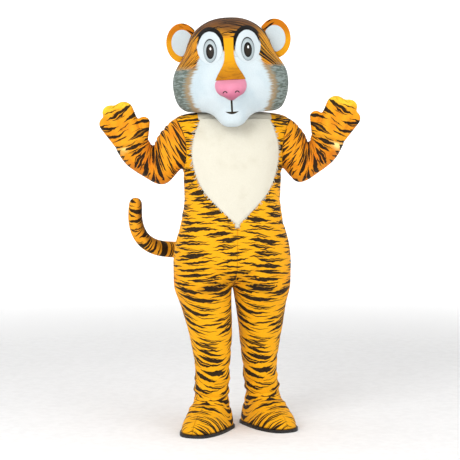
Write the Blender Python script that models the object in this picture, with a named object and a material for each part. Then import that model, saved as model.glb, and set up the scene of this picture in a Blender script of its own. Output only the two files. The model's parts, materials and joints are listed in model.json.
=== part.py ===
"""Tiger mascot costume, hollow and in its worn pose: jumpsuit, mitts, foot covers, tail and head.

All sizes are in metres. Heights are measured from the floor, +Z up, and the front faces -Y.
One empty carries every piece and puts the origin between the shoulders, where the suit hangs.
The wearer's right side lies at -X. Each sewn piece is its own object with its own material.
"""

import math
from typing import NamedTuple

import bmesh
import bpy
from mathutils import Matrix, Vector

# Overall sizes
SHOULDER_HEIGHT = 1.45
BODY_TURN = math.radians(8.0)
SEAM = 0.0003
LAY_ON = 0.0009
SUIT_WALL = 0.003
HEAD_WALL = 0.008
SIDES = {"right": -1.0, "left": 1.0}

# Mesh density and the step of a numeric slope
PANEL_COLUMNS = 8
CROTCH_ROWS = 4
TRUNK_ROWS = 5
ARMHOLE_ROWS = 8
YOKE_ROWS = 4
SLOPE_STEP = 0.0005
WELD = 0.000001

# Jumpsuit levels: 0 to 1 leg, 1 to 2 crotch, 2 to 3 trunk, 3 to 4 chest and shoulder
HEM_HEIGHT = 0.140
FORK_HEIGHT = 0.655
CROTCH_RISE = 0.120
CROTCH_LEAST = 0.40
CROTCH_POWER = 0.7
FORK_SHARE = 0.12
ARMPIT_LEVEL = 3.02
ARMHOLE_TOP_LEVEL = 3.74
ARMHOLE_SPREAD = 0.165
NECK_LEVEL = 4.0
TRUNK_POWER = 2.25
SEAM_SHARE = 0.00035
HALVINGS = 40
SHARP_FOLD = math.radians(50.0)

# Mitts
MITT_ROWS = 5
MITT_WALL = 0.003
FINGER_SAMPLES = 5
FINGER_THICKNESS = 0.036
FINGER_VALLEY = 0.40
MITT_FULL_SHARE = 0.62
MITT_EDGE_RISE = 2.2
MITT_INSET_FADE = 0.5

# Foot covers
FOOT_ROWS = 6
SOLE_LIP = 0.005
TOE_SHARE = 0.3125

# Tail
TAIL_SPOKES = 12
TAIL_ROOT_HEIGHT = 0.800
TAIL_ROOT_RADIUS = 0.045
TAIL_LOOK_BACK = 0.4
TAIL_ROOT_STEPS = 2.0
TAIL_LEAST_BLEND = 0.15
TAIL_TURN_START = 4.0
TAIL_TURN_STEPS = 3.0

# Head
HEAD_PIVOT = Vector((-0.004, 0.0, 1.470))
HEAD_TILT = math.radians(-3.0)
HEAD_SEAT = Vector((0.0, 0.0, -0.0042))
HEAD_POWER = 2.2
FACE_HALF_ANGLE = math.radians(100.0)
FACE_COLUMNS = 22
BACK_COLUMNS = 10
CROWN_LEVEL = 0.58
CHIN_DROP = 0.078
CHIN_SPREAD = 0.078
CHIN_LEVEL = 0.22
CHIN_PUSH = 0.045
FRONT_FADE = 0.5
FACE_RIM_REACH = 0.4
PLATE_DEPTH = 0.014
CORE_HEIGHT = 1.68
CORE_SHARE = 0.70


class LegRow(NamedTuple):
    """One level section of both legs."""

    height: float
    half_width: float
    half_depth: float
    right_x: float
    right_y: float
    left_x: float
    left_y: float


class TrunkRow(NamedTuple):
    """One level section of the trunk, both sides alike."""

    level: float
    height: float
    half_width: float
    half_depth: float
    centre_y: float


class SleeveRow(NamedTuple):
    """One section of a sleeve, from the crook side to the elbow side."""

    step: float
    crook_x: float
    crook_z: float
    elbow_x: float
    elbow_z: float
    centre_y: float
    half_depth: float


class Finger(NamedTuple):
    """One rounded fingertip of a mitt, in the mitt's own plane."""

    across: float
    along: float
    radius: float
    start_degrees: float
    end_degrees: float


class FootRow(NamedTuple):
    """One level outline of a foot cover, about the ankle's centre."""

    height: float
    toe_reach: float
    heel_reach: float
    half_width: float


class HeadRow(NamedTuple):
    """One level section of the head."""

    level: float
    height: float
    half_width: float
    front: float
    back: float


class Swell(NamedTuple):
    """One soft swelling of the face toward the front."""

    x: float
    z: float
    reach: float
    spread_x: float
    spread_z: float


class WidthRow(NamedTuple):
    """Half width of a laid-on piece at one height."""

    height: float
    half_width: float


class PathRow(NamedTuple):
    """One point of the tail's centre line, with its radius."""

    step: float
    x: float
    y: float
    z: float
    radius: float


LEGS = (
    LegRow(0.140, 0.083, 0.088, 0.104, -0.045, 0.151, 0.035),
    LegRow(0.160, 0.077, 0.082, 0.104, -0.045, 0.151, 0.035),
    LegRow(0.185, 0.086, 0.090, 0.103, -0.044, 0.146, 0.034),
    LegRow(0.212, 0.079, 0.083, 0.101, -0.043, 0.140, 0.033),
    LegRow(0.240, 0.085, 0.088, 0.099, -0.042, 0.137, 0.032),
    LegRow(0.270, 0.080, 0.085, 0.098, -0.041, 0.136, 0.031),
    LegRow(0.345, 0.090, 0.093, 0.100, -0.040, 0.134, 0.030),
    LegRow(0.410, 0.099, 0.102, 0.104, -0.035, 0.136, 0.030),
    LegRow(0.465, 0.106, 0.110, 0.108, -0.030, 0.138, 0.025),
    LegRow(0.520, 0.114, 0.119, 0.117, -0.022, 0.138, 0.020),
    LegRow(0.575, 0.121, 0.130, 0.125, -0.015, 0.136, 0.013),
    LegRow(0.620, 0.131, 0.141, 0.1335, -0.006, 0.137, 0.005),
    LegRow(0.655, 0.1385, 0.150, 0.1385, 0.0, 0.1385, 0.0),
)

TRUNK = (
    TrunkRow(2.00, 0.775, 0.277, 0.178, 0.000),
    TrunkRow(2.20, 0.850, 0.272, 0.180, -0.004),
    TrunkRow(2.40, 0.930, 0.247, 0.173, -0.006),
    TrunkRow(2.60, 1.010, 0.227, 0.164, -0.006),
    TrunkRow(2.80, 1.100, 0.223, 0.160, -0.005),
    TrunkRow(3.00, 1.200, 0.231, 0.160, -0.004),
    TrunkRow(3.20, 1.275, 0.244, 0.157, -0.002),
    TrunkRow(3.40, 1.345, 0.256, 0.149, 0.000),
    TrunkRow(3.55, 1.395, 0.266, 0.137, 0.002),
    TrunkRow(3.70, 1.435, 0.268, 0.120, 0.004),
    TrunkRow(3.80, 1.453, 0.246, 0.110, 0.005),
    TrunkRow(3.88, 1.463, 0.208, 0.103, 0.005),
    TrunkRow(3.95, 1.469, 0.158, 0.097, 0.005),
    TrunkRow(4.00, 1.473, 0.108, 0.090, 0.005),
)

SLEEVE = (
    SleeveRow(0.0, 0.290, 1.428, 0.262, 1.192, 0.000, 0.094),
    SleeveRow(1.0, 0.312, 1.408, 0.276, 1.160, 0.006, 0.098),
    SleeveRow(2.0, 0.338, 1.373, 0.298, 1.138, 0.014, 0.100),
    SleeveRow(3.0, 0.354, 1.343, 0.327, 1.128, 0.021, 0.100),
    SleeveRow(4.0, 0.364, 1.319, 0.368, 1.139, 0.023, 0.097),
    SleeveRow(5.0, 0.371, 1.318, 0.419, 1.173, 0.013, 0.094),
    SleeveRow(6.0, 0.378, 1.327, 0.474, 1.207, -0.006, 0.088),
    SleeveRow(7.0, 0.383, 1.337, 0.515, 1.251, -0.026, 0.080),
    SleeveRow(8.0, 0.387, 1.348, 0.538, 1.306, -0.043, 0.070),
)
SLEEVE_SECTIONS = 10
SLEEVE_START = 1.3
SLEEVE_BLEND_ROWS = 3.0
AXIS_STEP = 0.5
LEFT_ARM_IN = 0.022
LEFT_ARM_UP = 0.027
SHOULDER_SWING = 0.034
SHOULDER_STEPS = 4.0
PALM_TURN = 0.30

FINGERS = (
    Finger(-0.088, 0.118, 0.036, -125.0, -6.0),
    Finger(-0.058, 0.163, 0.038, -72.0, 25.0),
    Finger(0.004, 0.156, 0.047, -42.0, 98.0),
    Finger(0.078, 0.078, 0.031, -52.0, 112.0),
)

FEET = (
    FootRow(0.0125, 0.262, 0.094, 0.101),
    FootRow(0.034, 0.258, 0.096, 0.100),
    FootRow(0.060, 0.232, 0.096, 0.095),
    FootRow(0.086, 0.186, 0.095, 0.089),
    FootRow(0.108, 0.136, 0.092, 0.084),
    FootRow(0.124, 0.098, 0.087, 0.080),
)
TOE_OUT = {"right": math.radians(27.0), "left": math.radians(17.0)}
FOOT_POWER = 2.7

CHEST = (
    WidthRow(0.966, 0.010),
    WidthRow(1.000, 0.046),
    WidthRow(1.040, 0.086),
    WidthRow(1.090, 0.133),
    WidthRow(1.140, 0.164),
    WidthRow(1.220, 0.190),
    WidthRow(1.290, 0.199),
    WidthRow(1.350, 0.190),
    WidthRow(1.400, 0.174),
    WidthRow(1.440, 0.158),
)
CHEST_COLUMNS = 12
CHEST_ROWS = 12
CHEST_EDGE = 0.004
CHEST_PILE = 0.006
CHEST_END_ROWS = 0.6
CHEST_END_RISE = 2.5
EDGE_POWER = 4
GUIDE_SHARE = 0.30

TAIL = (
    PathRow(0.0, 0.000, 0.200, 0.800, 0.045),
    PathRow(1.0, -0.040, 0.243, 0.800, 0.044),
    PathRow(2.0, -0.115, 0.268, 0.800, 0.042),
    PathRow(3.0, -0.205, 0.255, 0.804, 0.041),
    PathRow(4.0, -0.290, 0.205, 0.810, 0.040),
    PathRow(5.0, -0.362, 0.165, 0.823, 0.039),
    PathRow(6.0, -0.418, 0.145, 0.858, 0.038),
    PathRow(7.0, -0.449, 0.138, 0.910, 0.037),
    PathRow(8.0, -0.460, 0.135, 0.970, 0.035),
    PathRow(9.0, -0.457, 0.132, 1.032, 0.033),
)
TAIL_SECTIONS = 15
TAIL_TIP_ROWS = 3

HEAD = (
    HeadRow(0.00, 1.488, 0.145, 0.158, 0.135),
    HeadRow(0.04, 1.480, 0.188, 0.190, 0.160),
    HeadRow(0.10, 1.494, 0.230, 0.210, 0.180),
    HeadRow(0.20, 1.535, 0.257, 0.224, 0.197),
    HeadRow(0.33, 1.600, 0.269, 0.229, 0.212),
    HeadRow(0.46, 1.665, 0.260, 0.226, 0.220),
    HeadRow(0.54, 1.705, 0.236, 0.220, 0.221),
    HeadRow(0.62, 1.745, 0.208, 0.213, 0.216),
    HeadRow(0.70, 1.785, 0.194, 0.203, 0.205),
    HeadRow(0.78, 1.825, 0.177, 0.185, 0.187),
    HeadRow(0.86, 1.862, 0.148, 0.154, 0.156),
    HeadRow(0.93, 1.892, 0.104, 0.108, 0.110),
    HeadRow(0.98, 1.907, 0.054, 0.056, 0.057),
    HeadRow(1.00, 1.911, 0.006, 0.006, 0.006),
)
FACE_LEVELS = (0.0, 0.035, 0.07, 0.12, 0.17, 0.22, 0.28, 0.34, 0.40, 0.46, 0.52, CROWN_LEVEL)
CROWN_LEVELS = (CROWN_LEVEL, 0.65, 0.72, 0.79, 0.86, 0.93, 0.98)

SWELLS = (
    Swell(0.000, 1.555, 0.085, 0.105, 0.072),
    Swell(0.000, 1.430, 0.048, 0.085, 0.050),
    Swell(0.000, 1.665, 0.028, 0.045, 0.080),
    Swell(-0.085, 1.795, 0.012, 0.060, 0.060),
    Swell(0.085, 1.795, 0.012, 0.060, 0.060),
    Swell(-0.165, 1.555, 0.020, 0.080, 0.080),
    Swell(0.165, 1.555, 0.020, 0.080, 0.080),
    Swell(0.000, 1.476, -0.014, 0.110, 0.013),
)

EYE_X = 0.085
EYE_Z = 1.775
EYE_PATCH = (0.060, 0.080)
EYE_PATCH_LIFT = 0.0035
EYEBALL_Z = 1.757
EYEBALL = (0.031, 0.055)
EYEBALL_SWELL = 0.012
EYEBALL_EDGE = 0.001
PATCH_SHARES = (1.0, 0.75, 0.4, 0.0)
EYEBALL_SHARES = (1.0, 0.92, 0.75, 0.45, 0.0)
EYE_SPOKES = 16

BRIDGE = (
    WidthRow(1.6225, 0.068),
    WidthRow(1.650, 0.055),
    WidthRow(1.685, 0.032),
    WidthRow(1.720, 0.022),
    WidthRow(1.770, 0.021),
    WidthRow(1.810, 0.023),
)
BRIDGE_ROWS = 8
BRIDGE_COLUMNS = 6
BRIDGE_LIFT = 0.004
BRIDGE_SWELL = 0.0

NOSE = (
    WidthRow(1.531, 0.010),
    WidthRow(1.545, 0.030),
    WidthRow(1.560, 0.057),
    WidthRow(1.585, 0.070),
    WidthRow(1.605, 0.071),
    WidthRow(1.6215, 0.064),
)
NOSE_ROWS = 7
NOSE_COLUMNS = 10
NOSE_SWELL = 0.030
NOSE_LIFT = 0.006

EAR_X = 0.214
EAR_Y = 0.015
EAR_Z = 1.803
EAR_RADII = (0.076, 0.093)
EAR_BACK = 0.032
EAR_DISH = 0.015
EAR_RIM = 0.010
EAR_SPOKES = 18
EAR_SHARES = (1.0, 0.95, 0.85, 0.68, 0.4, 0.0)
EAR_LINING_SHARE = 0.68
EAR_LINING_PARTS = (1.0, 0.6, 0.0)
EAR_LINING = 0.003


class Paint(NamedTuple):
    """Colour, roughness and metallic value of one material."""

    colour: tuple
    roughness: float
    metallic: float


PLUSH = Paint((0.83, 0.42, 0.02), 0.85, 0.0)
SLEEVE_PLUSH = Paint((0.78, 0.30, 0.02), 0.85, 0.0)
CREAM = Paint((0.86, 0.83, 0.74), 0.95, 0.0)
FACE_WHITE = Paint((0.74, 0.80, 0.82), 0.90, 0.0)
CROWN_ORANGE = Paint((0.62, 0.27, 0.04), 0.85, 0.0)
EAR_ORANGE = Paint((0.80, 0.38, 0.03), 0.85, 0.0)
EAR_PALE = Paint((0.70, 0.75, 0.77), 0.90, 0.0)
EYE_GLOSS = Paint((0.45, 0.50, 0.52), 0.25, 0.0)
NOSE_PINK = Paint((0.75, 0.24, 0.33), 0.35, 0.0)
SOLE_BLACK = Paint((0.02, 0.02, 0.02), 0.60, 0.0)


def clear_scene():
    """Remove the objects that the file holds."""
    for item in list(bpy.data.objects):
        bpy.data.objects.remove(item, do_unlink=True)


def mix(first, second, share):
    """Value between two values or two vectors."""
    return first + (second - first) * share


def ease(share):
    """Soft step from 0 to 1."""
    share = min(max(share, 0.0), 1.0)
    return share * share * (3.0 - 2.0 * share)


def smooth_row(table, key):
    """Row of a table at a key between its rows, on a smooth curve through all of them."""
    keys = [row[0] for row in table]
    key = min(max(key, keys[0]), keys[-1])
    upper = max(1, next(index for index, value in enumerate(keys) if value >= key))
    lower = upper - 1
    before = max(lower - 1, 0)
    after = min(upper + 1, len(table) - 1)
    span = keys[upper] - keys[lower]
    share = (key - keys[lower]) / span
    values = []
    for column in range(len(table[0])):
        start = table[lower][column]
        end = table[upper][column]
        slope_in = (end - table[before][column]) / (keys[upper] - keys[before]) * span
        slope_out = (table[after][column] - start) / (keys[after] - keys[lower]) * span
        square = share * share
        cube = square * share
        value = (2 * cube - 3 * square + 1) * start + (cube - 2 * square + share) * slope_in
        value += (3 * square - 2 * cube) * end + (cube - square) * slope_out
        values.append(value)
    return type(table[0])(*values)


def superellipse(angle, half_width, half_depth, power):
    """Point on a squared oval: angle 0 at the front, a quarter turn at +X."""
    share = 2.0 / power
    x = math.copysign(abs(math.sin(angle)) ** share, math.sin(angle)) * half_width
    y = -math.copysign(abs(math.cos(angle)) ** share, math.cos(angle)) * half_depth
    return x, y


def slope_normal(surface, u, v):
    """Unit normal of a surface by small steps along both of its directions."""
    along_u = surface(u + SLOPE_STEP, v) - surface(u - SLOPE_STEP, v)
    along_v = surface(u, v + SLOPE_STEP) - surface(u, v - SLOPE_STEP)
    return along_u.cross(along_v).normalized()


def turned(point):
    """Turn a point of the jumpsuit with the body."""
    return Matrix.Rotation(BODY_TURN, 3, "Z") @ point


def on_head(point):
    """Lean a point of the head with the head, and seat it on the shoulders."""
    return Matrix.Rotation(HEAD_TILT, 3, "Y") @ (point - HEAD_PIVOT) + HEAD_PIVOT + HEAD_SEAT


def make_material(name, paint):
    """Material of one colour, roughness and metallic value."""
    material = bpy.data.materials.new(name)
    material.use_nodes = True
    shader = material.node_tree.nodes["Principled BSDF"]
    shader.inputs["Base Color"].default_value = (*paint.colour, 1.0)
    shader.inputs["Roughness"].default_value = paint.roughness
    shader.inputs["Metallic"].default_value = paint.metallic
    return material


def make_object(name, vertices, faces, paint, carrier):
    """Closed solid from vertices and faces, shaded smooth and carried by the empty."""
    shape = bmesh.new()
    corners = [shape.verts.new(vertex) for vertex in vertices]
    for face in faces:
        shape.faces.new([corners[index] for index in face])
    bmesh.ops.remove_doubles(shape, verts=shape.verts, dist=WELD)
    bmesh.ops.recalc_face_normals(shape, faces=shape.faces)
    if shape.calc_volume(signed=True) < 0.0:
        bmesh.ops.reverse_faces(shape, faces=shape.faces)
    mesh = bpy.data.meshes.new(name)
    shape.to_mesh(mesh)
    shape.free()
    mesh.shade_smooth()
    mesh.set_sharp_from_angle(angle=SHARP_FOLD)
    item = bpy.data.objects.new(name, mesh)
    item.data.materials.append(make_material(name, paint))
    item.parent = carrier
    bpy.context.scene.collection.objects.link(item)
    return item


def grid_faces(rows, columns, closed, first, flipped):
    """Triangles of a grid of vertices, split the same way, wrapped round where it is closed."""
    faces = []
    for row in range(rows - 1):
        for column in range(columns if closed else columns - 1):
            beside = (column + 1) % columns
            near = first + row * columns + column
            near_beside = first + row * columns + beside
            far_beside = near_beside + columns
            far = near + columns
            for triangle in ([near, near_beside, far_beside], [near, far_beside, far]):
                faces.append(triangle[::-1] if flipped else triangle)
    return faces


def make_shell(name, outer, inner, closed, paint, carrier, start_rim=True, end_rim=True):
    """Wall between an outer and an inner grid of points, closed by rims along its edges."""
    rows = len(outer)
    columns = len(outer[0])
    vertices = [point for row in outer for point in row]
    offset = len(vertices)
    vertices += [point for row in inner for point in row]
    faces = grid_faces(rows, columns, closed, 0, False)
    faces += grid_faces(rows, columns, closed, offset, True)
    rim_rows = [row for row, wanted in ((0, start_rim), (rows - 1, end_rim)) if wanted]
    for row in rim_rows:
        for column in range(columns if closed else columns - 1):
            here = row * columns + column
            beside = row * columns + (column + 1) % columns
            faces.append([here, beside, offset + beside, offset + here])
    if not closed:
        for column in (0, columns - 1):
            for row in range(rows - 1):
                here = row * columns + column
                above = here + columns
                faces.append([here, above, offset + above, offset + here])
    return make_object(name, vertices, faces, paint, carrier)


def leg_outline(side, share, height):
    """Point of a leg's level section: share 0 at the inseam, a quarter in front, half outside."""
    row = smooth_row(LEGS, height)
    centre_x = row.right_x if side < 0 else row.left_x
    centre_y = row.right_y if side < 0 else row.left_y
    angle = 2.0 * math.pi * share
    x = centre_x - row.half_width * math.cos(angle)
    y = centre_y - row.half_depth * math.sin(angle)
    return Vector((side * x, y, height))


def trunk_outline(side, share, level, height):
    """Point of half the trunk's section: share 0 at the centre front, 1 at the centre back."""
    row = smooth_row(TRUNK, level)
    x, y = superellipse(math.pi * share, row.half_width, row.half_depth, TRUNK_POWER)
    return Vector((side * x, y + row.centre_y, height))


def suit_surface(side, share, level):
    """Point of the jumpsuit's outside, before the body turns."""
    if level <= 1.0:
        return leg_outline(side, share, mix(HEM_HEIGHT, FORK_HEIGHT, level))
    if level < 2.0:
        swing = (level - 1.0) * math.pi / 2.0
        aside = mix(CROTCH_LEAST, 1.0, math.sin(math.pi * min(max(share, 0.0), 1.0)) ** CROTCH_POWER)
        rise = mix(1.0 - math.cos(swing), math.sin(swing), aside)
        height = FORK_HEIGHT + CROTCH_RISE * rise
        leg = leg_outline(side, share, FORK_HEIGHT)
        trunk = trunk_outline(side, share, TRUNK[0].level, height)
        point = mix(leg, trunk, math.sin(swing))
        point.z = height
        return point
    return trunk_outline(side, share, level, smooth_row(TRUNK, level).height)


def suit_pair(side, share, level):
    """Outer and inner point of the jumpsuit's wall at one place."""

    def surface(u, v):
        return suit_surface(side, u, v)

    outer = surface(share, level)
    inward = slope_normal(surface, share, level) * -side
    inner = outer + inward * SUIT_WALL
    from_seam = min(share, 1.0 - share) / FORK_SHARE
    from_fork = abs(level - 1.0) * CROTCH_ROWS
    inner.z += SUIT_WALL * max(0.0, 1.0 - from_seam) * max(0.0, 1.0 - from_fork)
    inner.z = max(inner.z, HEM_HEIGHT)
    for point in (outer, inner):
        point.x = side * max(side * point.x, SEAM / 2.0)
    return outer, inner


def armhole_half(level):
    """Half the armhole's opening at a level, as a share of the half section."""
    middle = (ARMPIT_LEVEL + ARMHOLE_TOP_LEVEL) / 2.0
    half = (ARMHOLE_TOP_LEVEL - ARMPIT_LEVEL) / 2.0
    inside = 1.0 - ((level - middle) / half) ** 2
    return ARMHOLE_SPREAD * math.sqrt(max(inside, 0.0))


def armhole_levels():
    """Levels of the armhole from the armpit to the shoulder tip."""
    middle = (ARMPIT_LEVEL + ARMHOLE_TOP_LEVEL) / 2.0
    half = (ARMHOLE_TOP_LEVEL - ARMPIT_LEVEL) / 2.0
    steps = range(ARMHOLE_ROWS + 1)
    return [middle - half * math.cos(math.pi * step / ARMHOLE_ROWS) for step in steps]


def suit_levels():
    """Levels of the panels' rows, from the ankle hem to the neck."""
    levels = [(row.height - HEM_HEIGHT) / (FORK_HEIGHT - HEM_HEIGHT) for row in LEGS[:-1]]
    levels += [1.0 + step / CROTCH_ROWS for step in range(CROTCH_ROWS)]
    levels += [mix(2.0, ARMPIT_LEVEL, step / TRUNK_ROWS) for step in range(TRUNK_ROWS)]
    levels += armhole_levels()
    steps = range(1, YOKE_ROWS + 1)
    levels += [mix(ARMHOLE_TOP_LEVEL, NECK_LEVEL, step / YOKE_ROWS) for step in steps]
    return levels


def suit_panel(side, back):
    """Outer and inner grid of one full-length panel, hem to neck, turned with the body."""
    outer = []
    inner = []
    for level in suit_levels():
        opening = armhole_half(level)
        if back:
            start = 0.5 + opening + SEAM_SHARE
            end = 1.0 - SEAM_SHARE
        else:
            start = SEAM_SHARE
            end = 0.5 - opening - SEAM_SHARE
        shares = [mix(start, end, column / PANEL_COLUMNS) for column in range(PANEL_COLUMNS + 1)]
        pairs = [suit_pair(side, share, level) for share in shares]
        outer.append([turned(pair[0]) for pair in pairs])
        inner.append([turned(pair[1]) for pair in pairs])
    first = suit_levels().index(armhole_levels()[0])
    column = 0 if back else -1
    for place in range(ARMHOLE_ROWS + 1):
        skin = outer[first + place][column]
        away = (skin - inner[first + place][column]).normalized()
        index = -place if back else place
        both = away + section_outward(side, 0.0, index, 2 * ARMHOLE_ROWS)
        inner[first + place][column] = skin - both * (2.0 * SUIT_WALL / both.length_squared)
    return outer, inner


def armhole_ring(side, front, back):
    """Outer and inner ring of an armhole: armpit first, up the front edge, down the back."""
    levels = suit_levels()
    first = levels.index(armhole_levels()[0])
    rows = range(first, first + ARMHOLE_ROWS + 1)
    rings = []
    for layer in (0, 1):
        up = [front[layer][row][-1] for row in rows]
        down = [back[layer][row][0] for row in rows]
        ring = [mix(up[0], down[0], 0.5)] + up[1:-1]
        ring += [mix(up[-1], down[-1], 0.5)] + down[-2:0:-1]
        rings.append(ring)
    count = len(rings[0])
    for index in range(count):
        sleeve_out = section_outward(side, 0.0, index, count)
        wall = (rings[0][index] - rings[1][index]).normalized()
        trunk_out = 2.0 * wall * wall.dot(sleeve_out) - sleeve_out
        shift = (trunk_out - sleeve_out).normalized() * SEAM
        rings[0][index] = rings[0][index] + shift
        rings[1][index] = rings[1][index] + shift
    return rings


def sleeve_frame(side, step):
    """Centre, half width vector toward the elbow side, and half depth of a sleeve section."""
    row = smooth_row(SLEEVE, step)
    share = step / SLEEVE[-1].step
    inward = LEFT_ARM_IN * share if side > 0 else 0.0
    lift = LEFT_ARM_UP * share if side > 0 else 0.0
    y = row.centre_y + side * SHOULDER_SWING * max(0.0, 1.0 - step / SHOULDER_STEPS)
    crook = Vector((side * (row.crook_x - inward), y, row.crook_z + lift))
    elbow = Vector((side * (row.elbow_x - inward), y, row.elbow_z + lift))
    return (crook + elbow) / 2.0, (elbow - crook) / 2.0, row.half_depth


def section_axes(side, step):
    """Unit vectors across, toward the palm side, and along the arm at a sleeve section."""
    across = sleeve_frame(side, step)[1].normalized()
    before = sleeve_frame(side, max(step - AXIS_STEP, 0.0))[0]
    after = sleeve_frame(side, min(step + AXIS_STEP, SLEEVE[-1].step))[0]
    forward = (after - before).normalized()
    palm = across.cross(forward).normalized()
    if palm.y > 0.0:
        palm = -palm
    palm = mix(Vector((0.0, -1.0, 0.0)), palm, PALM_TURN * ease(step / SHOULDER_STEPS))
    palm = (palm - across * palm.dot(across)).normalized()
    along = palm.cross(across).normalized()
    if along.dot(forward) < 0.0:
        along = -along
    return across, palm, along


def section_outward(side, step, index, count):
    """Unit vector away from a sleeve section's centre at one place of its ring."""
    across, palm, _ = section_axes(side, step)
    angle = 2.0 * math.pi * index / count
    return across * math.cos(angle) + palm * math.sin(angle)


def sleeve_ring(side, step, count):
    """Closed ring of a sleeve section: elbow side first, then the palm side."""
    centre, across, depth = sleeve_frame(side, step)
    _, palm, _ = section_axes(side, step)
    ring = []
    for index in range(count):
        angle = 2.0 * math.pi * index / count
        ring.append(centre + across * math.cos(angle) + palm * depth * math.sin(angle))
    return ring


def ring_inside(rings, row, side):
    """Inner points of one ring of a sleeve, square to the cloth between its neighbours."""
    count = len(rings[row])
    inner = []
    for index in range(count):
        round_ring = rings[row][(index + 1) % count] - rings[row][index - 1]
        along = rings[row + 1][index] - rings[row - 1][index]
        outward = along.cross(round_ring).normalized() * side
        inner.append(rings[row][index] - outward * SUIT_WALL)
    return inner


def make_sleeve(name, side, front, back, carrier):
    """Sleeve from the armhole round the elbow to the wrist."""
    ring_outer, ring_inner = armhole_ring(side, front, back)
    count = len(ring_outer)
    outer = [ring_outer]
    last = SLEEVE[-1].step
    for section in range(SLEEVE_SECTIONS + 1):
        blend = ease((section + SLEEVE_START) / SLEEVE_BLEND_ROWS)
        ring = sleeve_ring(side, last * section / SLEEVE_SECTIONS, count)
        outer.append([mix(a, b, blend) for a, b in zip(ring_outer, ring)])
    inner = [ring_inner]
    for row in range(1, len(outer) - 1):
        inner.append(ring_inside(outer, row, side))
    ends = [section_outward(side, last, index, count) * SUIT_WALL for index in range(count)]
    inner.append([point - wall for point, wall in zip(outer[-1], ends)])
    return make_shell(name, outer, inner, True, SLEEVE_PLUSH, carrier)


def finger_outline():
    """Points of a mitt's outline, little finger to thumb, with each point's place on its tip."""
    points = []
    for finger in FINGERS:
        for sample in range(FINGER_SAMPLES):
            share = sample / (FINGER_SAMPLES - 1)
            angle = math.radians(mix(finger.start_degrees, finger.end_degrees, share))
            across = finger.across + finger.radius * math.sin(angle)
            along = finger.along + finger.radius * math.cos(angle)
            points.append((across, along, share))
    return points


def mitt_point(wrist, column, row_share, inset):
    """Across, along and thickness of one point of a mitt half, inset by its wall."""
    half_width, half_depth = wrist
    outline = finger_outline()
    spread = column / (len(outline) - 1)
    swing = math.pi * spread
    edge = math.sin(swing)
    across_tip, along_tip, share = outline[column]
    root = -half_width * math.cos(swing)
    reach = math.hypot(across_tip - root, along_tip)
    set_back = row_share * (1.0 - inset / reach)
    across = mix(root, across_tip, set_back)
    across += inset * math.cos(swing) * (1.0 - MITT_INSET_FADE * set_back)
    along = along_tip * set_back
    dome = FINGER_VALLEY + (1.0 - FINGER_VALLEY) * math.sin(math.pi * share)
    full = FINGER_THICKNESS * dome * min(1.0, MITT_EDGE_RISE * edge)
    thickness = mix(half_depth * edge, full, ease(row_share / MITT_FULL_SHARE))
    thickness *= math.sqrt(max(0.0, 1.0 - row_share ** EDGE_POWER))
    return across, along, max(thickness - inset, 0.0)


def make_mitt_half(name, side, palm_side, carrier):
    """Palm or back of a mitt, a puffed sheet that meets its partner along the outline."""
    last = SLEEVE[-1].step
    centre, width, depth = sleeve_frame(side, last)
    across, palm, along = section_axes(side, last)
    across = -across
    out = palm * palm_side
    wrist = (width.length, depth)
    columns = len(finger_outline())
    grids = []
    for inset in (0.0, MITT_WALL):
        grid = []
        for row in range(MITT_ROWS + 1):
            share = math.sin(0.5 * math.pi * row / MITT_ROWS)
            line = []
            for column in range(columns):
                offset, reach, thickness = mitt_point(wrist, column, share, inset)
                point = centre + across * offset + along * (reach + SEAM)
                line.append(point + out * (thickness + SEAM / 2.0))
            grid.append(line)
        grids.append(grid)
    return make_shell(name, grids[0], grids[1], False, SLEEVE_PLUSH, carrier)


def foot_point(side_name, share, height):
    """Point of a foot cover's outside at a height below the ankle seam."""
    side = SIDES[side_name]
    ankle = LEGS[0]
    centre_x = ankle.right_x if side < 0 else ankle.left_x
    centre_y = ankle.right_y if side < 0 else ankle.left_y
    row = smooth_row(FEET, height)
    angle = 2.0 * math.pi * (share - TOE_SHARE)
    reach = row.toe_reach if math.cos(angle) > 0.0 else row.heel_reach
    aside, ahead = superellipse(angle, row.half_width, reach, FOOT_POWER)
    out = TOE_OUT[side_name]
    x = centre_x + aside * math.cos(out) - ahead * math.sin(out)
    y = centre_y + aside * math.sin(out) + ahead * math.cos(out)
    return Vector((side * x, y, height))


def foot_grids(side_name, start):
    """Outer and inner grid of half a foot cover, from the sole up to the ankle seam."""
    side = SIDES[side_name]
    step = 0.5 / PANEL_COLUMNS
    shares = [start + step * column for column in range(PANEL_COLUMNS + 1)]
    shares[0] += SEAM_SHARE
    shares[-1] -= SEAM_SHARE

    def surface(u, v):
        return foot_point(side_name, u, v)

    outer = []
    inner = []
    for row in range(FOOT_ROWS):
        height = mix(FEET[0].height, FEET[-1].height, row / (FOOT_ROWS - 1))
        points = [surface(share, height) for share in shares]
        inward = [slope_normal(surface, share, height) * -side for share in shares]
        hollow = [point + normal * SUIT_WALL for point, normal in zip(points, inward)]
        for point in hollow:
            point.z = max(point.z, FEET[0].height)
        if row == 0:
            hollow = [Vector((point.x, point.y, height)) for point in hollow]
        outer.append([turned(point) for point in points])
        inner.append([turned(point) for point in hollow])
    pairs = [suit_pair(side, share % 1.0, 0.0) for share in shares]
    seat = HEM_HEIGHT - SEAM
    outer.append([turned(Vector((pair[0].x, pair[0].y, seat))) for pair in pairs])
    inner.append([turned(Vector((pair[1].x, pair[1].y, seat))) for pair in pairs])
    return outer, inner


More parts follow.
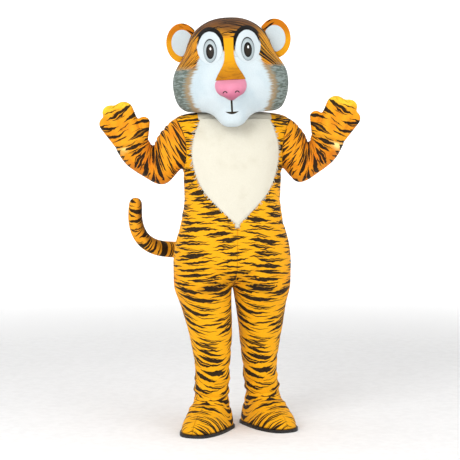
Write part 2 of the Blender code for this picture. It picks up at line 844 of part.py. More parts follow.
def make_sole(name, side_name, carrier):
    """Flat black sole under a foot cover, a little wider than it."""
    count = 4 * PANEL_COLUMNS
    base = FEET[0].height
    outline = [foot_point(side_name, index / count, base) for index in range(count)]
    middle = sum(outline, Vector()) / count
    top = []
    bottom = []
    for point in outline:
        wide = point + (point - middle).normalized() * SOLE_LIP
        top.append(turned(Vector((wide.x, wide.y, base - SEAM))))
        bottom.append(turned(Vector((wide.x, wide.y, 0.0))))
    vertices = top + bottom
    faces = [list(range(count)), list(range(2 * count - 1, count - 1, -1))]
    for index in range(count):
        beside = (index + 1) % count
        faces.append([index, beside, count + beside, count + index])
    return make_object(name, vertices, faces, SOLE_BLACK, carrier)


def level_at(height):
    """Level of the trunk at a height, by halving."""
    low = TRUNK[0].level
    high = TRUNK[-1].level
    for _ in range(HALVINGS):
        middle = (low + high) / 2.0
        if smooth_row(TRUNK, middle).height < height:
            low = middle
        else:
            high = middle
    return low


def trunk_share(x, level):
    """Share of the half section at which the trunk is a given distance from its middle."""
    ratio = min(abs(x) / smooth_row(TRUNK, level).half_width, 0.999)
    return math.asin(ratio ** (TRUNK_POWER / 2.0)) / math.pi


def trunk_layer(x, height, lift, back=False):
    """Point above the trunk's front or back at a place seen from the front."""
    side = -1.0 if x < 0.0 else 1.0
    level = level_at(height)
    share = trunk_share(x, level)
    share = 1.0 - share if back else share

    def surface(u, v):
        return suit_surface(side, u, v)

    point = surface(share, level)
    normal = slope_normal(surface, share, level)
    if normal.dot(point - Vector((0.0, 0.0, point.z))) < 0.0:
        normal = -normal
    if abs(x) < WELD:
        normal = Vector((0.0, normal.y, normal.z)).normalized()
    return turned(point + normal * lift)


def make_front_guide(name, side, front, carrier):
    """Guide solid of a front panel's own facets, one seam gap larger, that seats the chest."""
    first = suit_levels().index(2.0)
    across = turned(Vector((side, 0.0, 0.0)))
    outer = []
    inner = []
    for skin, lining in zip(front[0][first:], front[1][first:]):
        line = [point + (point - below).normalized() * SEAM for point, below in zip(skin, lining)]
        line[0] = line[0] - across * SEAM
        core = Vector((0.0, 0.0, line[0].z))
        outer.append(line)
        inner.append([mix(point, core, GUIDE_SHARE) for point in line])
        inner[-1][0] = inner[-1][0] - across * SEAM
    guide = make_shell(f"front_guide_{name}", outer, inner, False, PLUSH, carrier)
    guide.hide_render = True
    guide.display_type = "WIRE"
    return guide


def make_chest(guides, carrier):
    """Long-pile chest panel laid on the two fronts, thickest in its middle."""
    outer = []
    inner = []
    for row in range(CHEST_ROWS + 1):
        height = mix(CHEST[0].height, CHEST[-1].height, row / CHEST_ROWS)
        width = smooth_row(CHEST, height).half_width
        from_end = min(row + CHEST_END_ROWS, CHEST_ROWS) / (CHEST_ROWS + CHEST_END_ROWS)
        end_fade = min(1.0, CHEST_END_RISE * math.sin(math.pi * from_end))
        line = []
        hollow = []
        for column in range(CHEST_COLUMNS + 1):
            across = 2.0 * column / CHEST_COLUMNS - 1.0
            pile = CHEST_PILE * (1.0 - across ** EDGE_POWER) * end_fade
            line.append(trunk_layer(across * width, height, CHEST_EDGE + pile))
            hollow.append(trunk_layer(across * width, height, -CHEST_PILE))
        outer.append(line)
        inner.append(hollow)
    chest = make_shell("chest_panel", outer, inner, False, CREAM, carrier)
    for guide in guides:
        seat(chest, guide)


def tail_sections():
    """Step, share of the radius and share of it past the end, for each section of the tail."""
    last = TAIL[-1].step
    sections = []
    for section in range(1, TAIL_SECTIONS + 1):
        sections.append((last * section / TAIL_SECTIONS, 1.0, 0.0))
    for section in range(1, TAIL_TIP_ROWS + 1):
        swing = 0.5 * math.pi * section / TAIL_TIP_ROWS
        sections.append((last, math.cos(swing), math.sin(swing)))
    return sections


def tail_frame(step, push):
    """Centre, two unit vectors across and radius of the tail at a step of its path."""
    row = smooth_row(TAIL, step)
    back = smooth_row(TAIL, step - TAIL_LOOK_BACK)
    centre = Vector((row.x, row.y, row.z))
    along = (centre - Vector((back.x, back.y, back.z))).normalized()
    centre += along * row.radius * push
    up = Vector((0.0, 0.0, 1.0))
    rear = Vector((0.0, 1.0, 0.0))
    turn = ease((step - TAIL_TURN_START) / TAIL_TURN_STEPS)
    side = along.cross(mix(up, rear, turn)).normalized()
    return centre, side, side.cross(along).normalized(), row.radius


def make_tail(carrier):
    """Stuffed tail from the centre back round the right hip and up to its round tip."""
    first = []
    for spoke in range(TAIL_SPOKES):
        angle = 2.0 * math.pi * spoke / TAIL_SPOKES
        x = TAIL_ROOT_RADIUS * math.cos(angle)
        z = TAIL_ROOT_HEIGHT + TAIL_ROOT_RADIUS * math.sin(angle)
        first.append(trunk_layer(x, z, LAY_ON, back=True))
    rows = [first]
    for step, shrink, push in tail_sections():
        centre, side, rise, radius = tail_frame(step, push)
        radius *= max(shrink, 0.0)
        blend = max(ease(step / TAIL_ROOT_STEPS), TAIL_LEAST_BLEND)
        ring = []
        for spoke in range(TAIL_SPOKES):
            angle = 2.0 * math.pi * spoke / TAIL_SPOKES
            point = centre + side * radius * math.cos(angle) + rise * radius * math.sin(angle)
            ring.append(mix(first[spoke], point, blend))
        rows.append(ring)
    vertices = [point for ring in rows for point in ring]
    faces = grid_faces(len(rows), TAIL_SPOKES, True, 0, False)
    faces.append(list(range(TAIL_SPOKES - 1, -1, -1)))
    return make_object("tail", vertices, faces, PLUSH, carrier)


def swelling(x, z):
    """Reach of all the face's swellings at one place."""
    total = 0.0
    for swell in SWELLS:
        distance = ((x - swell.x) / swell.spread_x) ** 2 + ((z - swell.z) / swell.spread_z) ** 2
        total += swell.reach * math.exp(-distance)
    return total


def head_surface(angle, level):
    """Point of the head's outside: angle 0 at the front, positive toward +X."""
    row = smooth_row(HEAD, level)
    front = math.cos(angle) > 0.0
    reach = row.front if front else row.back
    x, y = superellipse(angle, row.half_width, reach, HEAD_POWER)
    z = row.height
    if front:
        fade = ease(-y / (FRONT_FADE * row.front))
        low = max(0.0, 1.0 - level / CHIN_LEVEL)
        narrow = math.exp(-((x / CHIN_SPREAD) ** 4))
        z -= CHIN_DROP * narrow * low * low * fade
        y -= (swelling(x, z) + CHIN_PUSH * narrow * low) * fade
    return Vector((x, y, z))


def head_angles():
    """Angles of the head's columns: the face from right to left, then round the back."""
    face = [mix(-FACE_HALF_ANGLE, FACE_HALF_ANGLE, step / FACE_COLUMNS) for step in range(FACE_COLUMNS)]
    rest = 2.0 * math.pi - FACE_HALF_ANGLE
    back = [mix(FACE_HALF_ANGLE, rest, step / BACK_COLUMNS) for step in range(BACK_COLUMNS)]
    return face, back


def head_layer(angles, levels, lift):
    """Grid of points at a distance above the head's outside."""
    grid = []
    for level in levels:
        line = []
        for angle in angles:
            normal = slope_normal(head_surface, angle, level)
            line.append(on_head(head_surface(angle, level) + normal * lift))
        grid.append(line)
    return grid


def make_head_shells(carrier):
    """Face, back and crown of the head, each a padded wall."""
    face, back = head_angles()
    gap = SEAM / FACE_RIM_REACH
    face_edge = [face[0] + gap, *face[1:], FACE_HALF_ANGLE - gap]
    back_edge = [back[0] + gap, *back[1:], 2.0 * math.pi - FACE_HALF_ANGLE - gap]
    side_levels = [*FACE_LEVELS[:-1], CROWN_LEVEL - SEAM]
    crown_levels = [CROWN_LEVEL + SEAM, *CROWN_LEVELS[1:]]
    pieces = (
        ("head_face", face_edge, side_levels, FACE_WHITE),
        ("head_back", back_edge, side_levels, CROWN_ORANGE),
    )
    for name, angles, levels, paint in pieces:
        outer = head_layer(angles, levels, 0.0)
        inner = head_layer(angles, levels, -HEAD_WALL)
        make_shell(name, outer, inner, False, paint, carrier)
    ring = face + back
    top = on_head(Vector((0.0, 0.0, HEAD[-1].height)))
    hollow = on_head(Vector((0.0, 0.0, HEAD[-1].height - HEAD_WALL)))
    outer = head_layer(ring, crown_levels, 0.0) + [[top] * len(ring)]
    inner = head_layer(ring, crown_levels, -HEAD_WALL) + [[hollow] * len(ring)]
    make_shell("head_crown", outer, inner, True, CROWN_ORANGE, carrier, end_rim=False)


def make_head_cutter(carrier):
    """Guide solid of the head's own facets, one seam gap larger, that seats pieces on it."""
    face, back = head_angles()
    levels = [*FACE_LEVELS, *CROWN_LEVELS[1:]]
    outer = head_layer(face + back, levels, SEAM)
    core = on_head(Vector((0.0, 0.0, CORE_HEIGHT)))
    inner = [[mix(point, core, CORE_SHARE) for point in line] for line in outer]
    cutter = make_shell("head_guide", outer, inner, True, FACE_WHITE, carrier)
    cutter.hide_render = True
    cutter.display_type = "WIRE"
    return cutter


def seat(item, cutter):
    """Cut a piece along the head's own facets, so that it sits on them."""
    cut = item.modifiers.new("seat", "BOOLEAN")
    cut.operation = "DIFFERENCE"
    cut.solver = "EXACT"
    cut.object = cutter


def brow_point(x, z, lift):
    """Point in front of the head at a place seen from the front."""
    low = 0.0
    high = 1.0
    for _ in range(HALVINGS):
        middle = (low + high) / 2.0
        if smooth_row(HEAD, middle).height < z:
            low = middle
        else:
            high = middle
    row = smooth_row(HEAD, low)
    inside = max(1.0 - (abs(x) / row.half_width) ** HEAD_POWER, 0.0)
    depth = row.front * inside ** (1.0 / HEAD_POWER)
    fade = ease(depth / (FRONT_FADE * row.front))
    return Vector((x, -depth - swelling(x, z) * fade - lift, z))


def oval_grid(centre, radii, shares, spokes, lift):
    """Rings of an oval on the head, each lifted by a function of its share of the radius."""
    grid = []
    for share in shares:
        line = []
        for spoke in range(spokes):
            angle = 2.0 * math.pi * spoke / spokes
            x = centre[0] + radii[0] * share * math.cos(angle)
            z = centre[1] + radii[1] * share * math.sin(angle)
            line.append(on_head(brow_point(x, z, lift(share))))
        grid.append(line)
    return grid


def make_eye(name, side, cutter, carrier):
    """White patch round an eye, and the glossy eye on it."""
    centre = (side * EYE_X, EYE_Z)
    outer = oval_grid(centre, EYE_PATCH, PATCH_SHARES, EYE_SPOKES, lambda share: EYE_PATCH_LIFT)
    inner = oval_grid(centre, EYE_PATCH, PATCH_SHARES, EYE_SPOKES, lambda share: -PLATE_DEPTH)
    patch = make_shell(f"eye_patch_{name}", outer, inner, True, FACE_WHITE, carrier, end_rim=False)
    seat(patch, cutter)
    base = EYE_PATCH_LIFT + LAY_ON
    centre = (side * EYE_X, EYEBALL_Z)

    def dome(share):
        return base + EYEBALL_EDGE + EYEBALL_SWELL * math.sqrt(max(0.0, 1.0 - share * share))

    outer = oval_grid(centre, EYEBALL, EYEBALL_SHARES, EYE_SPOKES, dome)
    inner = oval_grid(centre, EYEBALL, EYEBALL_SHARES, EYE_SPOKES, lambda share: base)
    make_shell(f"eye_{name}", outer, inner, True, EYE_GLOSS, carrier, end_rim=False)


def make_plate(name, table, rows, columns, swell, edge, cutter, paint, carrier):
    """Piece on the head's middle, wide as its table says and swelling from its edges."""
    outer = []
    inner = []
    for row in range(rows + 1):
        rise = row / rows
        height = mix(table[0].height, table[-1].height, rise)
        width = smooth_row(table, height).half_width
        line = []
        hollow = []
        for column in range(columns + 1):
            across = 2.0 * column / columns - 1.0
            aside = max(0.0, 1.0 - across ** EDGE_POWER)
            upright = max(0.0, 1.0 - (2.0 * rise - 1.0) ** EDGE_POWER)
            lift = edge + swell * math.sqrt(aside * upright)
            line.append(on_head(brow_point(across * width, height, lift)))
            hollow.append(on_head(brow_point(across * width, height, -PLATE_DEPTH)))
        outer.append(line)
        inner.append(hollow)
    seat(make_shell(name, outer, inner, False, paint, carrier), cutter)


def ear_point(side, angle, share, depth):
    """Point of an ear, which stands beside the crown and faces the front."""
    x = EAR_X + EAR_RADII[0] * share * math.cos(angle)
    z = EAR_Z + EAR_RADII[1] * share * math.sin(angle)
    return on_head(Vector((side * x, EAR_Y + depth, z)))


def ear_front(share):
    """Depth of the ear's dished front at a share of its radius."""
    return EAR_DISH * (1.0 - share * share) - EAR_RIM


def make_ear(name, side, cutter, carrier):
    """Ear with a dished front, and its pale lining."""
    spokes = [2.0 * math.pi * spoke / EAR_SPOKES for spoke in range(EAR_SPOKES)]
    front = []
    back = []
    for share in EAR_SHARES:
        bulge = EAR_BACK * math.sqrt(max(0.0, 1.0 - share * share))
        front.append([ear_point(side, angle, share, ear_front(share)) for angle in spokes])
        back.append([ear_point(side, angle, share, bulge) for angle in spokes])
    ear = make_shell(f"ear_{name}", front, back, True, EAR_ORANGE, carrier, end_rim=False)
    seat(ear, cutter)
    outer = []
    inner = []
    for part in EAR_LINING_PARTS:
        share = EAR_LINING_SHARE * part
        level = ear_front(share) - LAY_ON
        outer.append([ear_point(side, angle, share, level - EAR_LINING) for angle in spokes])
        inner.append([ear_point(side, angle, share, level) for angle in spokes])
    lining = make_shell(f"ear_lining_{name}", outer, inner, True, EAR_PALE, carrier, end_rim=False)
    seat(lining, cutter)


def make_suit(carrier):
    """Panels, sleeves, mitts and foot covers of both sides, and the chest on the fronts."""
    guides = []
    for name, side in SIDES.items():
        front = suit_panel(side, back=False)
        back = suit_panel(side, back=True)
        make_shell(f"front_{name}", *front, False, PLUSH, carrier)
        make_shell(f"back_{name}", *back, False, PLUSH, carrier)
        make_sleeve(f"sleeve_{name}", side, front, back, carrier)
        make_mitt_half(f"mitt_palm_{name}", side, 1.0, carrier)
        make_mitt_half(f"mitt_back_{name}", side, -1.0, carrier)
        outer_half = foot_grids(name, TOE_SHARE)
        inner_half = foot_grids(name, TOE_SHARE - 0.5)
        make_shell(f"foot_outer_{name}", *outer_half, False, PLUSH, carrier)
        make_shell(f"foot_inner_{name}", *inner_half, False, PLUSH, carrier)
        make_sole(f"sole_{name}", name, carrier)
        guides.append(make_front_guide(name, side, front, carrier))
    make_chest(guides, carrier)


def make_head(carrier):
    """Head shells with eyes, ears, bridge and nose seated on them."""
    make_head_shells(carrier)
    cutter = make_head_cutter(carrier)
    for name, side in SIDES.items():
        make_eye(name, side, cutter, carrier)
        make_ear(name, side, cutter, carrier)
    make_plate(
        "nose_bridge", BRIDGE, BRIDGE_ROWS, BRIDGE_COLUMNS,
        BRIDGE_SWELL, BRIDGE_LIFT, cutter, EAR_ORANGE, carrier,
    )
    make_plate(
        "nose", NOSE, NOSE_ROWS, NOSE_COLUMNS,
        NOSE_SWELL, NOSE_LIFT, cutter, NOSE_PINK, carrier,
    )


def main():
    """Build the costume."""
    clear_scene()
    carrier = bpy.data.objects.new("costume", None)
    carrier.location = (0.0, 0.0, -SHOULDER_HEIGHT)
    bpy.context.scene.collection.objects.link(carrier)
    make_suit(carrier)
    make_tail(carrier)
    make_head(carrier)


main()
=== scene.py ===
"""Dress the solids of a plush tiger costume as sewn, striped and furred cloth."""

import json
import logging
import math
from dataclasses import dataclass, field
from enum import Enum
from typing import Callable, Iterable, Sequence, Union

import bmesh
import bpy
import numpy as np
from mathutils import Matrix, Vector

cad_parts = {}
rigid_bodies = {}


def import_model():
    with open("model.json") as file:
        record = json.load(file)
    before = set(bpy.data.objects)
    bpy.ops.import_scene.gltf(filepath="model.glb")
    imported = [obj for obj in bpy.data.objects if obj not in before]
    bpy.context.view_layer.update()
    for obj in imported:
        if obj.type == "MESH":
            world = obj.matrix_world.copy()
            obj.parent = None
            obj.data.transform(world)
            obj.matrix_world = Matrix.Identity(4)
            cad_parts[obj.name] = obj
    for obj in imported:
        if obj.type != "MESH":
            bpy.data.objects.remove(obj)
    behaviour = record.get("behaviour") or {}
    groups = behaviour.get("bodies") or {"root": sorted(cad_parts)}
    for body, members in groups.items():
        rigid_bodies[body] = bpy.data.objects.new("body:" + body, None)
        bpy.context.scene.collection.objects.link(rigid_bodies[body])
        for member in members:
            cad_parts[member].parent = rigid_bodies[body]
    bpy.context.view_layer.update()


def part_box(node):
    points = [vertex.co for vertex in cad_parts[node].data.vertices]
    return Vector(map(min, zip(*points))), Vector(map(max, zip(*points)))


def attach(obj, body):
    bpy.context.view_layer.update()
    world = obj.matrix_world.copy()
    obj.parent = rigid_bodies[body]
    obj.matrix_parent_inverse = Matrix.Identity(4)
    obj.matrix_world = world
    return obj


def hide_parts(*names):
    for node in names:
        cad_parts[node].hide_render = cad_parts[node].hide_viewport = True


LOG = logging.getLogger("costume")
FLOOR_Z = -1.45
BODY_TURN = math.radians(8.0)
HEAD_PIVOT = Vector((-0.004, 0.0, 0.020))
HEAD_TILT = math.radians(-3.0)
HEAD_SEAT = Vector((0.0, 0.0, -0.0042))
HEAD_AXIS_Z = 1.50
CHEEK_Z = 1.585
EYE_X = 0.085
EYE_Z = 1.757
PATCH_Z = 1.775
PATCH_RADII = (0.060, 0.080)
LEFT_ARM_IN = 0.022
LEFT_ARM_UP = 0.027
SIDES = {"right": -1.0, "left": 1.0}
WELD = 0.00002
SEAM_WELD = 0.0012
RIM_WIDTH = 0.005
RIM_FOLD = 40.0
HEAD_RIM_FOLD = 50.0
LEAST_FACING = -0.08

Number = Union[float, "Socket"]
Pair = tuple[float, float]
Colour = tuple[float, float, float, float]
Points = np.ndarray


class Wall(Enum):
    """Ways to find the outside of a hollow solid."""

    NARROW_RIM = "narrow rim"
    SHARP_RIM = "sharp rim"
    FACING = "facing away from its partner"
    WHOLE = "whole"


class Hold(Enum):
    """Ways in which a sheet of cloth is held."""

    GATHERED = "gathered"
    STRETCHED = "stretched"
    LAID = "laid"


def pair(operation: str, swapped: bool = False) -> Callable[["Socket", Number], "Socket"]:
    """Make a Socket method that adds a Math node of two values.

    Args:
        operation: the node's operation.
        swapped: puts the socket second, for a reflected operator.

    Returns:
        The method.
    """

    def method(self: "Socket", other: Number) -> "Socket":
        """Result of the operation on the two values."""
        return self.graph.math(operation, *((other, self) if swapped else (self, other)))

    return method


def single(operation: str) -> Callable[["Socket"], "Socket"]:
    """Make a Socket method that adds a Math node of one value."""

    def method(self: "Socket") -> "Socket":
        """Result of the operation on the value."""
        return self.graph.math(operation, self)

    return method


class Socket:
    """One output of a node, with arithmetic that adds Math nodes."""

    def __init__(self, graph: "Graph", link: bpy.types.NodeSocket) -> None:
        """Keep the graph and the socket."""
        self.graph = graph
        self.link = link

    __add__ = __radd__ = pair("ADD")
    __mul__ = __rmul__ = pair("MULTIPLY")
    __sub__ = pair("SUBTRACT")
    __rsub__ = pair("SUBTRACT", swapped=True)
    __truediv__ = pair("DIVIDE")
    __abs__ = single("ABSOLUTE")
    floor = single("FLOOR")
    fraction = single("FRACT")
    power = pair("POWER")
    least = pair("MINIMUM")
    most = pair("MAXIMUM")

    def step(self, low: float, high: float) -> "Socket":
        """Soft step of the value.

        Args:
            low: value at which the step is 0.
            high: value at which the step is 1; it may be below low.

        Returns:
            A socket from 0 to 1.
        """
        return self.graph.node(
            "ShaderNodeMapRange",
            {"interpolation_type": "SMOOTHSTEP"},
            {0: self, 1: low, 2: high, 3: 0.0, 4: 1.0},
        )


class Graph:
    """Node tree of one material."""

    def __init__(self, name: str) -> None:
        """Make a material whose tree holds a Principled shader."""
        self.material = bpy.data.materials.new(name)
        self.material.use_nodes = True
        self.tree = self.material.node_tree
        self.shader = self.tree.nodes["Principled BSDF"]
        self.coordinates: dict[str, Socket] = {}

    def node(
        self, kind: str, settings: dict[str, object], values: dict[Union[int, str], object],
        out: Union[int, str] = 0,
    ) -> Socket:
        """Add a node.

        Args:
            kind: type of the node.
            settings: attributes that are set first, such as an operation.
            values: numbers, tuples or sockets for the node's inputs.
            out: name or number of the output that is returned.

        Returns:
            The output's socket.
        """
        made = self.tree.nodes.new(kind)
        for key, setting in settings.items():
            setattr(made, key, setting)
        for key, value in values.items():
            if isinstance(value, Socket):
                self.tree.links.new(value.link, made.inputs[key])
            else:
                made.inputs[key].default_value = value
        return Socket(self, made.outputs[out])

    def math(self, operation: str, *values: Number) -> Socket:
        """Add a Math node of an operation on one to three values."""
        return self.node("ShaderNodeMath", {"operation": operation}, dict(enumerate(values)))

    def attribute(self, name: str) -> Socket:
        """Number that the mesh stores at each of its points under a name, or else 0."""
        if name not in self.coordinates:
            self.coordinates[name] = self.node("ShaderNodeAttribute", {"attribute_name": name}, {}, "Fac")
        return self.coordinates[name]

    def point(self) -> Socket:
        """Place on the object, in metres."""
        if "point" not in self.coordinates:
            self.coordinates["point"] = self.node("ShaderNodeTexCoord", {}, {}, "Object")
        return self.coordinates["point"]

    def vector(self, x: Number, y: Number, z: Number) -> Socket:
        """Vector of three numbers."""
        return self.node("ShaderNodeCombineXYZ", {}, {0: x, 1: y, 2: z})

    def noise(self, at: Socket, scale: float, detail: float = 2.0, rough: float = 0.5) -> Socket:
        """Noise of about 0 to 1.

        Args:
            at: vector at which the noise is read.
            scale: bumps in a metre.
            detail: octaves.
            rough: strength of the finer octaves.

        Returns:
            The noise's value.
        """
        values = {"Vector": at, "Scale": scale, "Detail": detail, "Roughness": rough}
        return self.node("ShaderNodeTexNoise", {}, values, "Fac")

    def chance(self, x: Number, y: Number, z: Number = 0.0) -> Socket:
        """Random number from 0 to 1 for whole numbers x, y and z."""
        return self.node("ShaderNodeTexWhiteNoise", {}, {"Vector": self.vector(x, y, z)}, "Value")

    def blend(self, factor: Number, first: object, second: object) -> Socket:
        """Mix two colours."""
        colours = {0: factor, 6: first, 7: second}
        return self.node("ShaderNodeMix", {"data_type": "RGBA"}, colours, 2)

    def bump(self, height: Socket, strength: float, distance: float) -> Socket:
        """Normal of a relief of a height in metres."""
        values = {"Strength": strength, "Distance": distance, "Height": height}
        return self.node("ShaderNodeBump", {}, values)

    def finish(self, links: dict[str, Socket], constants: dict[str, object]) -> bpy.types.Material:
        """Join sockets to the shader.

        Args:
            links: sockets for inputs that vary over the surface.
            constants: numbers or colours for inputs that don't.

        Returns:
            The material.
        """
        for name, constant in constants.items():
            self.shader.inputs[name].default_value = constant
        for name, socket in links.items():
            self.tree.links.new(socket.link, self.shader.inputs[name])
        return self.material

    def fur(
        self, colour: Socket, height: Socket, strength: float, depth: float,
        rough: Number = 0.85, sheen: float = 0.04,
    ) -> bpy.types.Material:
        """Finish the tree as matt pile.

        Args:
            colour: base colour.
            height: relief of the pile, from about 0 to 1.
            strength: strength of the relief.
            depth: depth of the relief in metres.
            rough: roughness.
            sheen: weight of the sheen.

        Returns:
            The material.
        """
        links = {"Base Color": colour, "Normal": self.bump(height, strength, depth)}
        constants = {"Sheen Weight": sheen, "Specular IOR Level": 0.15}
        (links if isinstance(rough, Socket) else constants)["Roughness"] = rough
        return self.finish(links, constants)

    def deepen(self, fibre: Socket, level: float, amount: float, colour: object, dark: Colour) -> Socket:
        """Darken a colour by an amount where a noise lies below a level; with the fibre noise this is
        painted shade between the fibres.
        """
        return self.blend((level - fibre).step(0.0, 0.3) * amount, colour, dark)


def rgb(code: str) -> Colour:
    """Linear colour of a six-digit code."""
    parts = [int(code[start : start + 2], 16) / 255.0 for start in (0, 2, 4)]
    red, green, blue = (
        part / 12.92 if part <= 0.04045 else ((part + 0.055) / 1.055) ** 2.4 for part in parts
    )
    return red, green, blue, 1.0


def oval(x: Socket, z: Socket, centre: Pair, radii: Pair) -> tuple[Socket, Socket, Socket]:
    """Place in an oval as shares of its two radii, and its share of the way to the rim."""
    across = (x - centre[0]) / radii[0]
    high = (z - centre[1]) / radii[1]
    return across, high, (across * across + high * high).power(0.5)


@dataclass(frozen=True)
class Strokes:
    """Rows of tapered strokes that lie along a limb's own lines."""

    pitch: float
    length: float
    thick: float
    wander: float
    seed: float
    sway: float = 6.0
    ripple: float = 34.0
    ragged: float = 130.0

    def mask(self, graph: Graph, around: Socket, along: Socket) -> Socket:
        """Where the strokes lie.

        Args:
            graph: material's graph.
            around: distance across the limb.
            along: distance down the limb.

        Returns:
            A mask from 0 to 1.
        """
        place = graph.vector(around, along, self.seed)
        sway, ripple, ragged = (
            graph.noise(place, scale, 1.0) - 0.5 for scale in (self.sway, self.ripple, self.ragged)
        )
        rows = along / self.pitch + sway * (2.0 * self.wander) + ripple * (0.8 * self.wander)
        row = rows.floor()
        height = rows.fraction() - 0.5
        cells = around / self.length + graph.chance(row, self.seed) * 9.0 + ripple * 0.12
        cell = cells.floor()
        reach = cells.fraction() * 2.0 - 1.0
        luck = graph.chance(row, cell, self.seed)
        other = graph.chance(cell, row, self.seed + 3.0)
        taper = 1.0 - abs(reach * (1.0 + 0.25 * other)).power(1.6)
        tilt = reach * (luck - 0.5) * 0.28
        thick = taper * (0.45 + 0.55 * luck) * self.thick + ragged * 0.07
        body = (thick - abs(height + tilt)).step(-0.01, 0.04)
        split = abs(height + tilt + (other - 0.5) * 0.16).step(0.025, 0.06)
        keep = (other.step(0.6, 0.62) * reach.step(-0.35, 0.0)) * (1.0 - split)
        return body * (1.0 - keep)


@dataclass(frozen=True)
class StripedPlush:
    """Short plush with black strokes on yellow and orange ground."""

    name: str
    light: Colour
    deep: Colour
    # Colour of the painted highlight on the sleeves' cuffs and of the mitts' yellow tips.
    glow: Colour
    stroke: Colour
    main: Strokes
    fine: Strokes
    warmth: float = 0.0
    cream: Colour = rgb("d4d0c1")

    def material(self) -> bpy.types.Material:
        """Build the finish as a material."""
        graph = Graph(self.name)
        around = graph.attribute("around")
        along = graph.attribute("along")
        point = graph.point()
        cloud = graph.noise(point, 14.0, 3.0)
        streak = graph.noise(graph.vector(around * 34.0, along * 8.0, 1.0), 1.0, 3.0)
        warm = graph.attribute("warm") + self.warmth
        ground = (warm + (cloud - 0.5) * 0.9 + (streak - 0.5) * 0.5).step(0.1, 0.9)
        colour = graph.blend(ground, self.light, self.deep)
        # Painted highlight on the sleeves' cuff ridge, and the mitts' yellow tips, in the glow colour.
        highlight_and_tips = graph.attribute("highlight_and_tips") * cloud.step(0.3, 0.6)
        colour = graph.blend(highlight_and_tips.least(1.0), colour, self.glow)
        fine = self.fine.mask(graph, around, along + 0.5 * self.main.pitch)
        strokes = self.main.mask(graph, around, along).most(fine) * (1.0 - graph.attribute("pale"))
        colour = graph.blend(strokes * 0.98, colour, self.stroke)
        fibre = graph.noise(point, 620.0, 2.0, 0.6)
        cream = (graph.attribute("cream") + (streak - 0.5) * 0.5).step(0.35, 0.65)
        colour = graph.blend(cream, colour, self.cream)
        # Painted shade between the fibres and painted highlight on their tips, following the same fibre
        # noise as the relief.
        colour = graph.blend((0.52 - fibre).step(0.0, 0.25) * 0.28, colour, rgb("3a1c00"))
        colour = graph.blend((fibre - 0.55).step(0.0, 0.25) * 0.16, colour, rgb("ffd97a"))
        colour = graph.blend(graph.attribute("shade").least(0.92), colour, rgb("140a02"))
        clump = graph.noise(point, 95.0, 2.0)
        height = fibre * 0.5 + clump * 0.8 + strokes * 0.1
        return graph.fur(colour, height, 0.55, 0.0022, 0.72 + (fibre - 0.5) * 0.2, 0.03)


@dataclass(frozen=True)
class Pile:
    """Long or short pile of one colour with soft clumps."""

    name: str
    colour: Colour
    dark: Colour
    clump: float
    depth: float

    def material(self) -> bpy.types.Material:
        """Build the finish as a material."""
        graph = Graph(self.name)
        point = graph.point()
        fibre = graph.noise(point, 540.0, 2.0, 0.65)
        clump = graph.noise(point, self.clump, 3.0)
        soft = graph.noise(point, 11.0, 2.0)
        # Painted shade between the fibres, then darker clouds of random tone.
        colour = graph.deepen(fibre, 0.56, 0.35, self.colour, self.dark)
        colour = graph.deepen(soft, 0.5, 0.25, colour, self.dark)
        return graph.fur(colour, fibre * 0.35 + clump, 0.5, self.depth, 0.84 + (fibre - 0.5) * 0.15)


